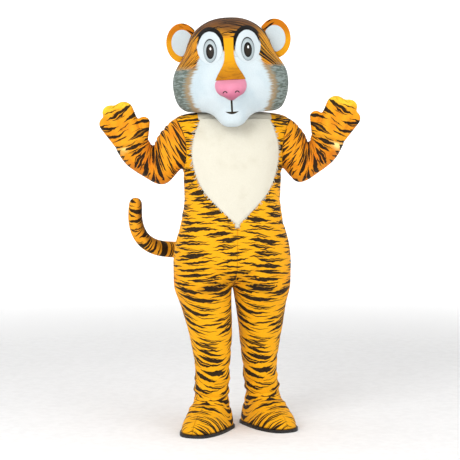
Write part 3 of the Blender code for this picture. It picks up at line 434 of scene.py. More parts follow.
@dataclass(frozen=True)
class FaceFur:
    """Pale face fur, airbrushed brown and grey at its edges, with a striped brow."""

    name: str
    pale: Colour
    blue: Colour
    ochre: Colour
    grey: Colour
    brow: Colour
    crown: Colour
    stroke: Colour

    def material(self) -> bpy.types.Material:
        """Build the finish as a material."""
        graph = Graph(self.name)
        x = graph.attribute("face_x")
        z = graph.attribute("face_z")
        behind = graph.attribute("behind")
        point = graph.point()
        fibre = graph.noise(point, 480.0, 2.0, 0.65)
        cloud = graph.noise(point, 9.0, 2.0)
        hair = graph.noise(graph.vector(x * 6.0, z * 44.0, graph.attribute("depth") * 6.0), 4.0, 2.0)
        far = abs(x)
        colour = graph.blend(cloud.step(0.40, 0.70) * 0.6, self.pale, self.blue)
        bow = (z - CHEEK_Z) / 0.105
        rim = far + bow * bow * 0.042 + (hair - 0.5) * 0.045
        cheek = z.step(1.715, 1.675)
        colour = graph.blend(rim.step(0.172, 0.196) * cheek * 0.85, colour, self.ochre)
        grey = rim.step(0.196, 0.224) * cheek
        colour = graph.blend(grey, colour, self.grey)
        colour = graph.blend((hair - 0.46).step(0.0, 0.14) * grey * 0.6, colour, rgb("9aa8a6"))
        colour = graph.blend(rim.step(0.268, 0.292) * cheek * 0.6, colour, rgb("93a5ab"))
        edge = 1.742 - far.step(0.115, 0.165) * 0.070
        top = (z + (hair - 0.5) * 0.04 - edge).step(0.0, 0.022).most(behind)
        crown = (z - 1.800 + (cloud - 0.5) * 0.05).step(0.0, 0.075)
        side = graph.blend((cloud - 0.4).step(0.0, 0.25) * 0.5, self.brow, rgb("b4690e"))
        colour = graph.blend(top, colour, graph.blend(crown, side, self.crown))
        over = graph.attribute("over") + far * 0.10
        aside = graph.attribute("aside")
        rows = Strokes(0.021, 0.20, 0.40, 0.45, 5.0).mask(graph, aside, over)
        thin = Strokes(0.021, 0.13, 0.20, 0.45, 15.0).mask(graph, aside, over + 0.0105)
        clear = far.step(0.052, 0.075).most(z.step(1.790, 1.812)).most(behind)
        ahead = 1.0 - behind
        colour = graph.blend(rows.most(thin) * top * clear, colour, self.stroke)
        colour = graph.blend(self.arcs(far, z) * ahead, colour, self.stroke)
        colour = graph.blend(self.line(x, z) * ahead, colour, rgb("241c0e"))
        # Painted shade between the fibres.
        colour = graph.deepen(fibre, 0.55, 0.20, colour, rgb("4b4f4c"))
        height = fibre * 0.4 + graph.noise(point, 120.0, 2.0) * 0.7
        return graph.fur(colour, height, 0.45, 0.002, 0.86, 0.05)

    def arcs(self, far: Socket, z: Socket) -> Socket:
        """Black brows that follow the tops of the eye patches."""
        x, high, share = oval(far, z, (EYE_X, PATCH_Z), PATCH_RADII)
        return share.step(1.17, 1.10) * (high - x * 0.45).step(0.10, 0.30)

    def line(self, x: Socket, z: Socket) -> Socket:
        """Painted line under the nose with the smile at its foot."""
        far = abs(x)
        down = (z - 1.476).step(-0.002, 0.003) * (z - 1.540).step(0.004, 0.0)
        middle = far.step(0.0054, 0.0034) * down
        share = far / 0.031
        thick = (1.0 - share * share) * 0.0056
        smile = (thick - abs(z - 1.474 - x * x * 7.0)).step(-0.0008, 0.0010)
        return middle.most(smile)


@dataclass(frozen=True)
class Gloss:
    """Smooth moulded finish with fine scuffs."""

    name: str
    colour: Colour
    dark: Colour
    rough: float

    def material(self) -> bpy.types.Material:
        """Build the finish as a material."""
        graph = Graph(self.name)
        point = graph.point()
        cloud = graph.noise(point, 28.0, 3.0)
        scuff = graph.noise(point, 260.0, 3.0)
        colour = graph.blend(cloud.step(0.35, 0.7) * 0.5, self.colour, self.dark)
        return graph.finish(
            {
                "Base Color": colour,
                "Roughness": self.rough + (scuff - 0.5) * 0.12,
                "Normal": graph.bump(scuff, 0.12, 0.0006),
            },
            {},
        )


@dataclass(frozen=True)
class EyePaint:
    """Glossy eye with a painted pupil and highlight."""

    name: str
    centre: Pair

    def ring(self, graph: Graph, offset: Pair, radii: Pair) -> Socket:
        """Share of an oval's radius at each place."""
        centre = (self.centre[0] + offset[0], self.centre[1] + offset[1])
        return oval(graph.attribute("face_x"), graph.attribute("face_z"), centre, radii)[2]

    def material(self) -> bpy.types.Material:
        """Build the finish as a material."""
        graph = Graph(self.name)
        ball = self.ring(graph, (0.0, 0.0), (0.031, 0.055))
        pupil = self.ring(graph, (0.0, -0.004), (0.0185, 0.034))
        light = self.ring(graph, (0.002, 0.008), (0.0032, 0.0060))
        high = graph.attribute("face_z") - self.centre[1]
        rim = (ball + high * 1.6).step(0.90, 0.97).most(ball.step(0.93, 0.98))
        colour = graph.blend(ball.step(0.3, 1.0), rgb("b9c2c4"), rgb("93a0a4"))
        colour = graph.blend(rim, colour, rgb("0d0b09"))
        colour = graph.blend(pupil.step(1.03, 0.97), colour, rgb("070504"))
        colour = graph.blend(pupil.step(0.80, 0.60), colour, rgb("1e160b"))
        colour = graph.blend(light.step(1.2, 0.9), colour, rgb("ffffff"))
        rough = 0.42 + graph.noise(graph.point(), 220.0) * 0.10
        return graph.finish({"Base Color": colour, "Roughness": rough}, {"Specular IOR Level": 0.2})


@dataclass(frozen=True)
class BridgePaint:
    """Short ochre fur that darkens and wrinkles towards the nose."""

    name: str
    light: Colour
    deep: Colour
    foot: float
    top: float

    def material(self) -> bpy.types.Material:
        """Build the finish as a material."""
        graph = Graph(self.name)
        x = graph.attribute("face_x")
        z = graph.attribute("face_z")
        point = graph.point()
        fibre = graph.noise(point, 520.0, 2.0, 0.65)
        cloud = graph.noise(point, 30.0, 2.0)
        wave = graph.noise(graph.vector(x * 14.0, z * 70.0 - x * x * 260.0, 3.0), 1.6, 2.0)
        low = (z + (cloud - 0.5) * 0.02).step(self.top, self.foot)
        colour = graph.blend(low, self.light, self.deep)
        colour = graph.blend((wave - 0.52).step(0.0, 0.10) * low * 0.45, colour, rgb("6d430a"))
        # Painted shade between the fibres.
        colour = graph.deepen(fibre, 0.54, 0.3, colour, rgb("6b4108"))
        return graph.fur(colour, fibre * 0.3 + wave * 0.8, 0.5, 0.002)


@dataclass(frozen=True)
class NosePaint:
    """Smooth pink nose with painted shade along its foot, and two painted nostrils."""

    name: str
    light: Colour
    deep: Colour
    nostril: Pair = (0.027, 1.563)
    nostril_radii: Pair = (0.0105, 0.0100)

    def material(self) -> bpy.types.Material:
        """Build the finish as a material."""
        graph = Graph(self.name)
        z = graph.attribute("face_z")
        cloud = graph.noise(graph.point(), 60.0, 2.0)
        scuff = graph.noise(graph.point(), 260.0, 3.0)
        _, high, share = oval(abs(graph.attribute("face_x")), z, self.nostril, self.nostril_radii)
        arc = share.step(1.12, 0.98) * share.step(0.45, 0.62) * high.step(-0.15, 0.20)
        # Painted shade darkening the lower part of the nose, with random tone from the cloud noise.
        colour = graph.blend(z.step(1.595, 1.550) * 0.8 + (cloud - 0.5) * 0.3, self.light, self.deep)
        colour = graph.blend(arc, colour, rgb("2a0d14"))
        return graph.finish(
            {
                "Base Color": colour,
                "Roughness": 0.46 + (scuff - 0.5) * 0.12,
                "Normal": graph.bump(scuff, 0.12, 0.0006),
            },
            {"Specular IOR Level": 0.4},
        )


@dataclass(frozen=True)
class EarPaint:
    """Ochre ear fur with a browner top and a few dark strokes beside the head."""

    name: str
    light: Colour
    deep: Colour

    def material(self) -> bpy.types.Material:
        """Build the finish as a material."""
        graph = Graph(self.name)
        x = graph.attribute("face_x")
        z = graph.attribute("face_z")
        point = graph.point()
        fibre = graph.noise(point, 520.0, 2.0, 0.65)
        cloud = graph.noise(point, 24.0, 2.0)
        colour = graph.blend((z + (cloud - 0.5) * 0.06).step(1.785, 1.850) * 0.9, self.light, self.deep)
        rows = Strokes(0.022, 0.07, 0.36, 0.5, 21.0).mask(graph, x, z - abs(x) * 0.6)
        colour = graph.blend(rows * abs(x).step(0.232, 0.205), colour, rgb("140b04"))
        # Painted shade between the fibres.
        colour = graph.deepen(fibre, 0.54, 0.3, colour, rgb("7a4a0c"))
        return graph.fur(colour, fibre * 0.4 + graph.noise(point, 110.0, 2.0), 0.5, 0.002)


@dataclass(frozen=True)
class PatchPaint:
    """White eye patch with a black arc over its top."""

    name: str
    centre: Pair
    radii: Pair

    def material(self) -> bpy.types.Material:
        """Build the finish as a material."""
        graph = Graph(self.name)
        x = graph.attribute("face_x")
        _, z, share = oval(x, graph.attribute("face_z"), self.centre, self.radii)
        point = graph.point()
        fibre = graph.noise(point, 520.0, 2.0, 0.6)
        wave = (graph.noise(point, 60.0) - 0.5) * 0.10
        inner = abs(x).step(abs(self.centre[0]), abs(self.centre[0]) - 0.05)
        arc = (share + wave * 0.5 + z.least(0.4) * 0.10).step(0.87, 0.92)
        arc = arc * (z + inner * 0.25).step(0.0, 0.30)
        # Lighter where the fibres stand high and darker between them: painted light and shade of the pile.
        colour = graph.blend(fibre.step(0.3, 0.7), rgb("bdc9ce"), rgb("c9d1d4"))
        colour = graph.blend(arc, colour, rgb("080605"))
        height = fibre * 0.5 + graph.noise(point, 130.0)
        return graph.fur(colour, height, 0.35, 0.0015, sheen=0.03)


YELLOW = rgb("eba405")
AMBER = rgb("d87804")
BLACK = rgb("050302")
SUIT_PLUSH = StripedPlush(
    "suit_plush", YELLOW, AMBER, rgb("ffd24a"), BLACK,
    Strokes(0.031, 0.210, 0.40, 0.55, 1.0), Strokes(0.031, 0.140, 0.19, 0.5, 2.0), -0.05,
)
SLEEVE_PLUSH = StripedPlush(
    "sleeve_plush", rgb("e69810"), rgb("cf6d06"), rgb("ffe08a"), BLACK,
    Strokes(0.037, 0.190, 0.46, 0.40, 3.0), Strokes(0.037, 0.120, 0.22, 0.4, 4.0), 0.10,
)
MITT_PLUSH = StripedPlush(
    "mitt_plush", rgb("e99c14"), rgb("d2780c"), rgb("eec02e"), BLACK,
    Strokes(0.044, 0.170, 0.34, 0.55, 6.0), Strokes(0.044, 0.090, 0.12, 0.5, 7.0), 0.20,
)
FOOT_PLUSH = StripedPlush(
    "foot_plush", YELLOW, rgb("ee9a0a"), rgb("ffd24a"), BLACK,
    Strokes(0.034, 0.150, 0.36, 0.50, 8.0), Strokes(0.034, 0.080, 0.15, 0.5, 9.0), -0.05,
)
TAIL_PLUSH = StripedPlush(
    "tail_plush", rgb("eba01a"), rgb("d27a10"), rgb("ffd24a"), BLACK,
    Strokes(0.042, 0.160, 0.38, 0.40, 11.0), Strokes(0.042, 0.080, 0.15, 0.4, 12.0), 0.15,
)
CHEST_FUR = Pile("chest_fur", rgb("d4d0c1"), rgb("b3aa92"), 80.0, 0.005)
EAR_FUR = EarPaint("ear_fur", rgb("dc9a14"), rgb("bf6c0c"))
EAR_PALE = Pile("ear_pale", rgb("c3cfd4"), rgb("8fa0a9"), 120.0, 0.002)
BRIDGE_FUR = BridgePaint("bridge_fur", rgb("dd9b0c"), rgb("b0700a"), 1.630, 1.735)
NOSE_VINYL = NosePaint("nose_vinyl", rgb("d27f98"), rgb("ab5573"))
SOLE_FOAM = Gloss("sole_foam", rgb("0e0d0c"), rgb("1d1b19"), 0.62)
FACE_FUR = FaceFur(
    "face_fur", rgb("c4cfd3"), rgb("afc0c8"), rgb("8f6f34"), rgb("5a655d"), rgb("d8940f"),
    rgb("6c431b"), rgb("0a0604"),
)


@dataclass
class Cloth:
    """Smooth copy of the outsides of one or more nodes, sewn along their seams."""

    points: Points
    faces: list[list[int]]
    owner: list[int]
    names: list[str]
    normals: Points = field(default_factory=lambda: np.zeros((0, 3)))
    values: dict[str, Points] = field(default_factory=dict)


def component(faces: Iterable[bmesh.types.BMFace], open_edge: Callable[[bmesh.types.BMEdge], bool]) -> list:
    """Largest group of faces that join across open edges.

    Args:
        faces: faces to group.
        open_edge: says whether a group may cross an edge.

    Returns:
        The faces of the group with the most area.
    """
    left = {face.index: face for face in faces}
    best: list = []
    most = 0.0
    while left:
        index = min(left)
        stack = [left.pop(index)]
        group = []
        while stack:
            face = stack.pop()
            group.append(face)
            for edge in face.edges:
                if not open_edge(edge):
                    continue
                for near in edge.link_faces:
                    if near.index in left:
                        stack.append(left.pop(near.index))
        area = sum(face.calc_area() for face in group)
        if area > most:
            best = group
            most = area
    return best


def middle(node: str) -> Vector:
    """Middle of a node's box."""
    low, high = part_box(node)
    return (Vector(low) + Vector(high)) / 2.0


def flat_normal(mesh: bmesh.types.BMesh, away: Vector) -> Vector:
    """Direction in which a flattish mesh is thinnest, on the side that points away."""
    points = np.array([tuple(vertex.co) for vertex in mesh.verts])
    points -= points.mean(axis=0)
    thin = Vector(np.linalg.svd(points, full_matrices=False)[2][2])
    return thin if thin.dot(away) > 0.0 else -thin


def outside(node: str, wall: Wall, limit: float, partner: str = "") -> tuple[list[Vector], list[list[int]]]:
    """Points and faces of a node's outer wall.

    Args:
        node: name of the node.
        wall: how the rims are told from the walls.
        limit: narrowest side of a wall's face in metres, or sharpest fold in degrees.
        partner: node that meets this one along its outline, for a facing wall.

    Returns:
        Points, and faces as lists of their numbers.
    """
    mesh = bmesh.new()
    mesh.from_mesh(bpy.data.objects[node].data)
    bmesh.ops.remove_doubles(mesh, verts=mesh.verts, dist=WELD)
    mesh.faces.index_update()
    if wall is Wall.WHOLE:
        kept = list(mesh.faces)
    elif wall is Wall.FACING:
        out = flat_normal(mesh, middle(node) - middle(partner))
        kept = component([face for face in mesh.faces if face.normal.dot(out) > limit], lambda edge: True)
    elif wall is Wall.NARROW_RIM:
        wide = [face for face in mesh.faces if min(edge.calc_length() for edge in face.edges) >= limit]
        kept = component(wide, lambda edge: True)
    else:
        kept = component(mesh.faces, lambda edge: edge.calc_face_angle(0.0) < math.radians(limit))
    numbers: dict[int, int] = {}
    points = []
    faces = []
    for face in sorted(kept, key=lambda item: item.index):
        corners = []
        for vertex in face.verts:
            if vertex.index not in numbers:
                numbers[vertex.index] = len(points)
                points.append(vertex.co.copy())
            corners.append(numbers[vertex.index])
        faces.append(corners)
    mesh.free()
    return points, faces


def sew(nodes: Sequence[str], wall: Wall, limit: float, levels: int = 3) -> Cloth:
    """Join the outer walls of several nodes along their seams and smooth them.

    Args:
        nodes: names of the nodes.
        wall: how the rims are told from the walls.
        limit: measure that goes with wall.
        levels: subdivision levels.

    Returns:
        The smooth cloth, each face with the number of the node it stands for.
    """
    mesh = bmesh.new()
    for number, node in enumerate(nodes):
        points, faces = outside(node, wall, limit, nodes[number - 1])
        vertices = [mesh.verts.new(point) for point in points]
        for face in faces:
            mesh.faces.new([vertices[corner] for corner in face]).material_index = number
    if len(nodes) > 1:
        bmesh.ops.remove_doubles(mesh, verts=mesh.verts, dist=SEAM_WELD)
    bmesh.ops.join_triangles(
        mesh, faces=mesh.faces, cmp_materials=True,
        angle_face_threshold=math.pi, angle_shape_threshold=math.pi,
    )
    data = bpy.data.meshes.new("sewn")
    mesh.to_mesh(data)
    mesh.free()
    for _ in nodes:
        data.materials.append(None)
    item = bpy.data.objects.new("sewn", data)
    bpy.context.scene.collection.objects.link(item)
    smooth = item.modifiers.new("smooth", "SUBSURF")
    smooth.levels = levels
    smooth.boundary_smooth = "PRESERVE_CORNERS"
    graph = bpy.context.evaluated_depsgraph_get()
    done = bpy.data.meshes.new_from_object(item.evaluated_get(graph))
    count = len(done.vertices)
    places = np.empty(count * 3)
    done.vertices.foreach_get("co", places)
    normals = np.empty(count * 3)
    done.vertices.foreach_get("normal", normals)
    faces = [list(polygon.vertices) for polygon in done.polygons]
    owner = [polygon.material_index for polygon in done.polygons]
    bpy.data.objects.remove(item)
    return Cloth(places.reshape(-1, 3), faces, owner, list(nodes), normals.reshape(-1, 3))


def parts_and_seams(cloth: Cloth) -> tuple[Points, Points]:
    """Number of the node at each point of a cloth, and 1 where two nodes meet."""
    low = np.full(len(cloth.points), len(cloth.names))
    high = np.zeros(len(cloth.points), int)
    for face, owner in zip(cloth.faces, cloth.owner):
        low[face] = np.minimum(low[face], owner)
        high[face] = np.maximum(high[face], owner)
    return high, (low != high).astype(float)


def cut_out(cloth: Cloth, number: int, name: str, thick: float) -> bpy.types.Object:
    """Make the piece of a sewn cloth that stands for one node.

    Args:
        cloth: the sewn cloth.
        number: number of the node in it.
        name: name of the piece.
        thick: thickness of the cloth, laid inward; 0 leaves the faces as they are.

    Returns:
        The new object.
    """
    faces = [face for face, owner in zip(cloth.faces, cloth.owner) if owner == number]
    used = sorted({corner for face in faces for corner in face})
    place = {old: new for new, old in enumerate(used)}
    data = bpy.data.meshes.new(name)
    own = [[place[corner] for corner in face] for face in faces]
    data.from_pydata(cloth.points[used].tolist(), [], own)
    for key, values in cloth.values.items():
        stored = data.attributes.new(key, "FLOAT", "POINT")
        stored.data.foreach_set("value", values[used].astype(np.float32))
    data.polygons.foreach_set("use_smooth", [True] * len(data.polygons))
    item = bpy.data.objects.new(name, data)
    bpy.context.scene.collection.objects.link(item)
    if thick > 0.0:
        shell = item.modifiers.new("cloth", "SOLIDIFY")
        shell.thickness = thick
        shell.offset = -1.0
        shell.use_rim = True
        graph = bpy.context.evaluated_depsgraph_get()
        solid = bpy.data.meshes.new_from_object(item.evaluated_get(graph))
        item.modifiers.clear()
        item.data = solid
    return item


def dress(item: bpy.types.Object, node: str, material: bpy.types.Material) -> None:
    """Give a piece its finish, join it to the root body and hide the node it stands for."""
    item.data.materials.clear()
    item.data.materials.append(material)
    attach(item, "root")
    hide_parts(node)
    LOG.info("%s: %d faces", item.name, len(item.data.polygons))


def ease(values: Points, low: float, high: float) -> Points:
    """Soft step from 0 at low to 1 at high."""
    share = np.clip((values - low) / (high - low), 0.0, 1.0)
    return share * share * (3.0 - 2.0 * share)


def bell(values: Points, width: float) -> Points:
    """Soft bump of 1 at 0 that fades over a width."""
    return np.exp(-((values / width) ** 2))


@dataclass(frozen=True)
class Crease:
    """One fold of a limb.

    along and angle are its middle, reach is positive for a ridge, width is across it,
    span is its half length in radians and slant is how far it climbs over a radian.
    """

    along: float
    angle: float
    reach: float
    width: float
    span: float
    slant: float = 0.0

    def relief(self, along: Points, angle: Points) -> Points:
        """Height of the fold at each place of a limb."""
        turn = np.mod(angle - self.angle + math.pi, 2.0 * math.pi) - math.pi
        across = along - self.along - self.slant * turn
        return self.reach * bell(across, self.width) * bell(turn, self.span)


def folds(along: Points, angle: Points, table: Sequence[Crease]) -> Points:
    """Height of all the folds in a table at each place of a limb."""
    total = np.zeros_like(along)
    for crease in table:
        total += crease.relief(along, angle)
    return total


def unturned(points: Points) -> Points:
    """Points of the body before it turns, with heights from the floor."""
    turn = np.array(Matrix.Rotation(-BODY_TURN, 3, "Z"))
    back = points @ turn.T
    back[:, 2] -= FLOOR_Z
    return back


@dataclass
class Jumpsuit:
    """Four panels of the body and the two sleeves, sewn into one garment."""

    cloth: float = 0.0028
    seam_depth: float = 0.0022
    trunk_radius: float = 0.25
    leg_radius: float = 0.105
    arm_radius: float = 0.10
    arm_depth: float = 0.095
    arm_steps: int = 321
    leg_heights: tuple[float, ...] = (0.14, 0.24, 0.345, 0.465, 0.575, 0.655)
    leg_x: tuple[tuple[float, ...], tuple[float, ...]] = (
        (0.104, 0.099, 0.100, 0.108, 0.125, 0.1385),
        (0.151, 0.137, 0.134, 0.138, 0.136, 0.1385),
    )
    leg_y: tuple[tuple[float, ...], tuple[float, ...]] = (
        (-0.045, -0.042, -0.040, -0.030, -0.015, 0.0),
        (0.035, 0.032, 0.030, 0.025, 0.013, 0.0),
    )
    crook: tuple[Pair, ...] = (
        (0.290, 1.428), (0.312, 1.408), (0.338, 1.373), (0.354, 1.343), (0.364, 1.319),
        (0.371, 1.318), (0.378, 1.327), (0.383, 1.337), (0.387, 1.348),
    )
    elbow: tuple[Pair, ...] = (
        (0.262, 1.192), (0.276, 1.160), (0.298, 1.138), (0.327, 1.128), (0.368, 1.139),
        (0.419, 1.173), (0.474, 1.207), (0.515, 1.251), (0.538, 1.306),
    )
    arm_y: tuple[float, ...] = (0.0, 0.006, 0.014, 0.021, 0.023, 0.013, -0.006, -0.026, -0.043)
    sleeve_pace: float = 0.042
    leg_folds: tuple[Crease, ...] = (
        Crease(0.158, 0.3, -0.0045, 0.007, 1.1, 0.006),
        Crease(0.172, -1.5, 0.0050, 0.009, 1.2, -0.008),
        Crease(0.190, 0.9, 0.0055, 0.010, 1.2, -0.010),
        Crease(0.210, -0.4, -0.0060, 0.008, 1.4, 0.010),
        Crease(0.232, 1.6, 0.0045, 0.010, 1.1, 0.012),
        Crease(0.238, -0.7, 0.0050, 0.011, 1.0, 0.010),
        Crease(0.262, 0.4, -0.0050, 0.009, 1.2, -0.014),
        Crease(0.285, -1.4, -0.0040, 0.010, 0.9, 0.016),
        Crease(0.330, 1.2, -0.0035, 0.012, 0.8, -0.020),
        Crease(0.380, -1.2, -0.0040, 0.013, 0.8, 0.024),
        Crease(0.430, 0.8, -0.0035, 0.014, 0.7, -0.022),
        Crease(0.240, 3.0, -0.0050, 0.010, 1.0, 0.010),
        Crease(0.290, 2.7, 0.0045, 0.013, 0.8, -0.012),
        Crease(0.395, 3.0, -0.0055, 0.013, 0.9, 0.016),
        Crease(0.420, 2.6, -0.0045, 0.012, 0.7, -0.018),
        Crease(0.500, -0.9, -0.0035, 0.015, 0.6, 0.050),
        Crease(0.560, 0.6, -0.0035, 0.016, 0.6, -0.060),
        Crease(0.600, 3.0, -0.0050, 0.016, 0.7, 0.030),
    )
    trunk_folds: tuple[Crease, ...] = (
        Crease(0.700, 0.25, -0.0045, 0.014, 0.35, 0.16),
        Crease(0.700, -0.25, -0.0040, 0.014, 0.35, -0.16),
        Crease(0.745, 0.55, -0.0040, 0.015, 0.45, 0.10),
        Crease(0.750, -0.60, -0.0045, 0.015, 0.45, -0.12),
        Crease(0.935, -1.1, -0.0045, 0.016, 0.5, 0.03),
        Crease(0.965, 1.2, -0.0045, 0.015, 0.5, -0.03),
        Crease(1.010, -1.3, 0.0040, 0.015, 0.5, 0.04),
        Crease(1.060, 1.2, -0.0040, 0.014, 0.5, 0.02),
        Crease(1.040, -2.4, -0.0050, 0.016, 0.6, 0.03),
        Crease(0.985, 2.6, -0.0050, 0.016, 0.6, -0.02),
        Crease(1.090, 2.9, -0.0045, 0.015, 0.6, 0.02),
        Crease(1.180, -1.5, -0.0040, 0.013, 0.4, -0.04),
        Crease(1.190, 1.5, -0.0040, 0.013, 0.4, 0.04),
        Crease(1.300, 2.5, -0.0050, 0.016, 0.5, 0.10),
        Crease(1.300, -2.5, -0.0050, 0.016, 0.5, -0.10),
        Crease(0.800, 2.8, -0.0050, 0.016, 0.5, 0.06),
        Crease(0.815, -2.7, -0.0040, 0.016, 0.5, -0.05),
    )
    sleeve_folds: tuple[Crease, ...] = (
        Crease(0.020, -1.2, -0.0055, 0.008, 0.7, 0.0),
        Crease(0.055, -1.3, -0.0060, 0.009, 0.8, 0.01),
        Crease(0.095, -1.0, -0.0050, 0.009, 0.8, 0.02),
        Crease(0.130, -0.7, -0.0070, 0.010, 0.9, 0.0),
        Crease(0.165, -1.2, -0.0080, 0.010, 1.0, 0.0),
        Crease(0.195, -0.8, -0.0060, 0.010, 0.9, -0.01),
        Crease(0.225, -1.1, -0.0050, 0.009, 0.8, -0.02),
        Crease(0.260, 0.2, -0.0045, 0.010, 0.8, 0.02),
        Crease(0.292, -0.6, -0.0050, 0.010, 0.9, -0.02),
        Crease(0.318, 0.8, 0.0040, 0.010, 0.9, 0.01),
        Crease(0.110, 0.6, -0.0040, 0.012, 0.6, -0.02),
        Crease(0.150, 2.8, -0.0050, 0.010, 0.8, 0.0),
        Crease(0.190, -2.7, -0.0055, 0.010, 0.8, 0.0),
        Crease(0.240, 2.6, -0.0045, 0.010, 0.7, 0.0),
        Crease(0.060, 2.4, -0.0045, 0.012, 0.6, 0.02),
    )

    def body_place(self, points: Points, side: Points) -> tuple[Points, Points, Points]:
        """Height, angle and leg share of points of the body."""
        back = unturned(points)
        height = back[:, 2]
        share = ease(height, 0.76, 0.62)
        centre_x = np.zeros(len(points))
        centre_y = np.zeros(len(points))
        for number, sign in enumerate((-1.0, 1.0)):
            own = side == sign
            centre_x[own] = sign * np.interp(height[own], self.leg_heights, self.leg_x[number])
            centre_y[own] = np.interp(height[own], self.leg_heights, self.leg_y[number])
        x = back[:, 0] - centre_x * share
        y = back[:, 1] - centre_y * share
        return height, np.arctan2(x, -y), share

    def arm_place(self, points: Points, side: float) -> tuple[Points, Points]:
        """Distance down a sleeve and angle round it, for points of one sleeve."""
        last = len(self.arm_y) - 1.0
        steps = np.linspace(0.0, last, self.arm_steps)
        rows = np.arange(last + 1.0)
        crook, elbow = (
            np.stack([np.interp(steps, rows, [row[k] for row in line]) for k in (0, 1)], axis=1)
            for line in (self.crook, self.elbow)
        )
        for line in (crook, elbow):
            line[:, 0] -= LEFT_ARM_IN * steps / last if side > 0 else 0.0
            line[:, 1] += LEFT_ARM_UP * steps / last if side > 0 else 0.0
        flat = np.stack([points[:, 0] * side, points[:, 2] - FLOOR_Z], axis=1)
        away = np.empty((len(points), len(steps)))
        across = np.empty_like(away)
        for number, (start, end) in enumerate(zip(crook, elbow)):
            width = float(np.linalg.norm(end - start))
            line = (end - start) / width
            offset = flat - start
            run = offset @ line
            across[:, number] = run / width
            away[:, number] = offset[:, 0] * line[1] * -1.0 + offset[:, 1] * line[0]
        span = np.where((across > -0.25) & (across < 1.25), 0.0, 1.0)
        best = np.argmin(np.abs(away) + span, axis=1)
        pick = np.arange(len(points))
        start = best == 0
        along = steps[best] * self.sleeve_pace
        along[start] -= np.abs(away[pick, best])[start]
        position = across[pick, best] * 2.0 - 1.0
        middle = np.interp(steps[best], rows, self.arm_y)
        depth = (points[:, 1] - middle) / self.arm_depth
        return along, np.arctan2(position, -depth)

    def build(self) -> None:
        """Sew the panels and sleeves, fold them, and cut out the six pieces."""
        names = ["front_right", "front_left", "back_right", "back_left", "sleeve_right", "sleeve_left"]
        cloth = sew(names, Wall.NARROW_RIM, RIM_WIDTH)
        part, seam = parts_and_seams(cloth)
        across = cloth.points[:, 0] * np.cos(BODY_TURN) + cloth.points[:, 1] * np.sin(BODY_TURN)
        side = np.where(across < 0, -1.0, 1.0)
        height, angle, leg = self.body_place(cloth.points, side)
        mirror = angle * side
        radius = self.trunk_radius + (self.leg_radius - self.trunk_radius) * leg
        trunk = 1.0 - leg
        along = -height + 0.055 * leg * (1.0 - np.cos(mirror)) + 0.012 * np.cos(2.0 * mirror) * trunk
        around = angle * radius
        relief = folds(height, mirror, self.leg_folds) * leg
        relief += folds(height, angle, self.trunk_folds) * trunk
        warm = 0.30 * bell(height - 0.66, 0.10) + 0.22 * np.abs(np.sin(angle)) ** 6
        ahead = np.abs(angle)
        shade = 0.75 * bell(height - 0.665, 0.022) * bell(np.minimum(ahead, np.pi - ahead), 0.4)
        highlight_and_tips = np.zeros(len(cloth.points))
        beside = np.abs(unturned(cloth.points)[:, 0])
        cream = ease(height, 1.430, 1.440) * ease(beside, 0.178, 0.160) * ease(ahead, 2.0, 1.6)
        for number, sign in ((4, -1.0), (5, 1.0)):
            own = part == number
            down, turn = self.arm_place(cloth.points[own], sign)
            along[own] = down + 0.07 * np.sin(turn) * ease(down, 0.17, 0.03)
            around[own] = turn * self.arm_radius
            relief[own] = folds(down, turn, self.sleeve_folds) * ease(down, -0.01, 0.03)
            crook = bell(turn + 0.5 * math.pi, 0.5)
            cream[own] = 0.0
            warm[own] = 0.25 + 0.25 * bell(down - 0.20, 0.09)
            shade[own] = 0.7 * crook * bell(down - 0.165, 0.035)
            # Painted highlight on the ridge near the sleeve's cuff.
            highlight_and_tips[own] = 1.3 * bell(down - 0.318, 0.012) * bell(turn - 0.9, 0.6)
        relief -= self.seam_depth * seam
        cloth.points = cloth.points + cloth.normals * relief[:, None]
        cloth.values = {
            "along": along, "around": around, "warm": warm, "shade": shade, "highlight_and_tips": highlight_and_tips, "cream": cream,
        }
        suit = SUIT_PLUSH.material()
        sleeve = SLEEVE_PLUSH.material()
        for number, node in enumerate(names):
            item = cut_out(cloth, number, f"{node}_cloth", self.cloth)
            arm = node.startswith("sleeve")
            dress(item, node, sleeve if arm else suit)


@dataclass
class Mitts:
    """Puffed palm and back of each mitt."""

    cloth: float = 0.0028
    wrist: Pair = (0.4625, 1.327)
    along_axis: Pair = (0.268, 0.963)

    def build(self) -> None:
        """Sew each mitt's halves along their outline and cut them out."""
        finish = MITT_PLUSH.material()
        for name, side in SIDES.items():
            nodes = [f"mitt_palm_{name}", f"mitt_back_{name}"]
            cloth = sew(nodes, Wall.FACING, LEAST_FACING)
            x = cloth.points[:, 0] * side - self.wrist[0]
            z = cloth.points[:, 2] - FLOOR_Z - self.wrist[1]
            if side > 0:
                x = x + LEFT_ARM_IN
                z = z - LEFT_ARM_UP
            along = x * self.along_axis[0] + z * self.along_axis[1]
            across = x * self.along_axis[1] - z * self.along_axis[0]
            tips = ease(along, 0.145, 0.185) * 1.4
            cloth.values = {
                "along": along + 0.02 * np.sin(across * 18.0),
                "around": across + np.where(cloth.normals[:, 1] < 0, 0.0, 0.3),
                "warm": 0.25 * bell(along - 0.08, 0.06),
                "shade": 0.30 * bell(along, 0.006),
                "highlight_and_tips": tips,
                "pale": ease(along, 0.168, 0.190) * 0.8,
            }
            for number, node in enumerate(nodes):
                item = cut_out(cloth, number, f"{node}_cloth", self.cloth)
                dress(item, node, finish)


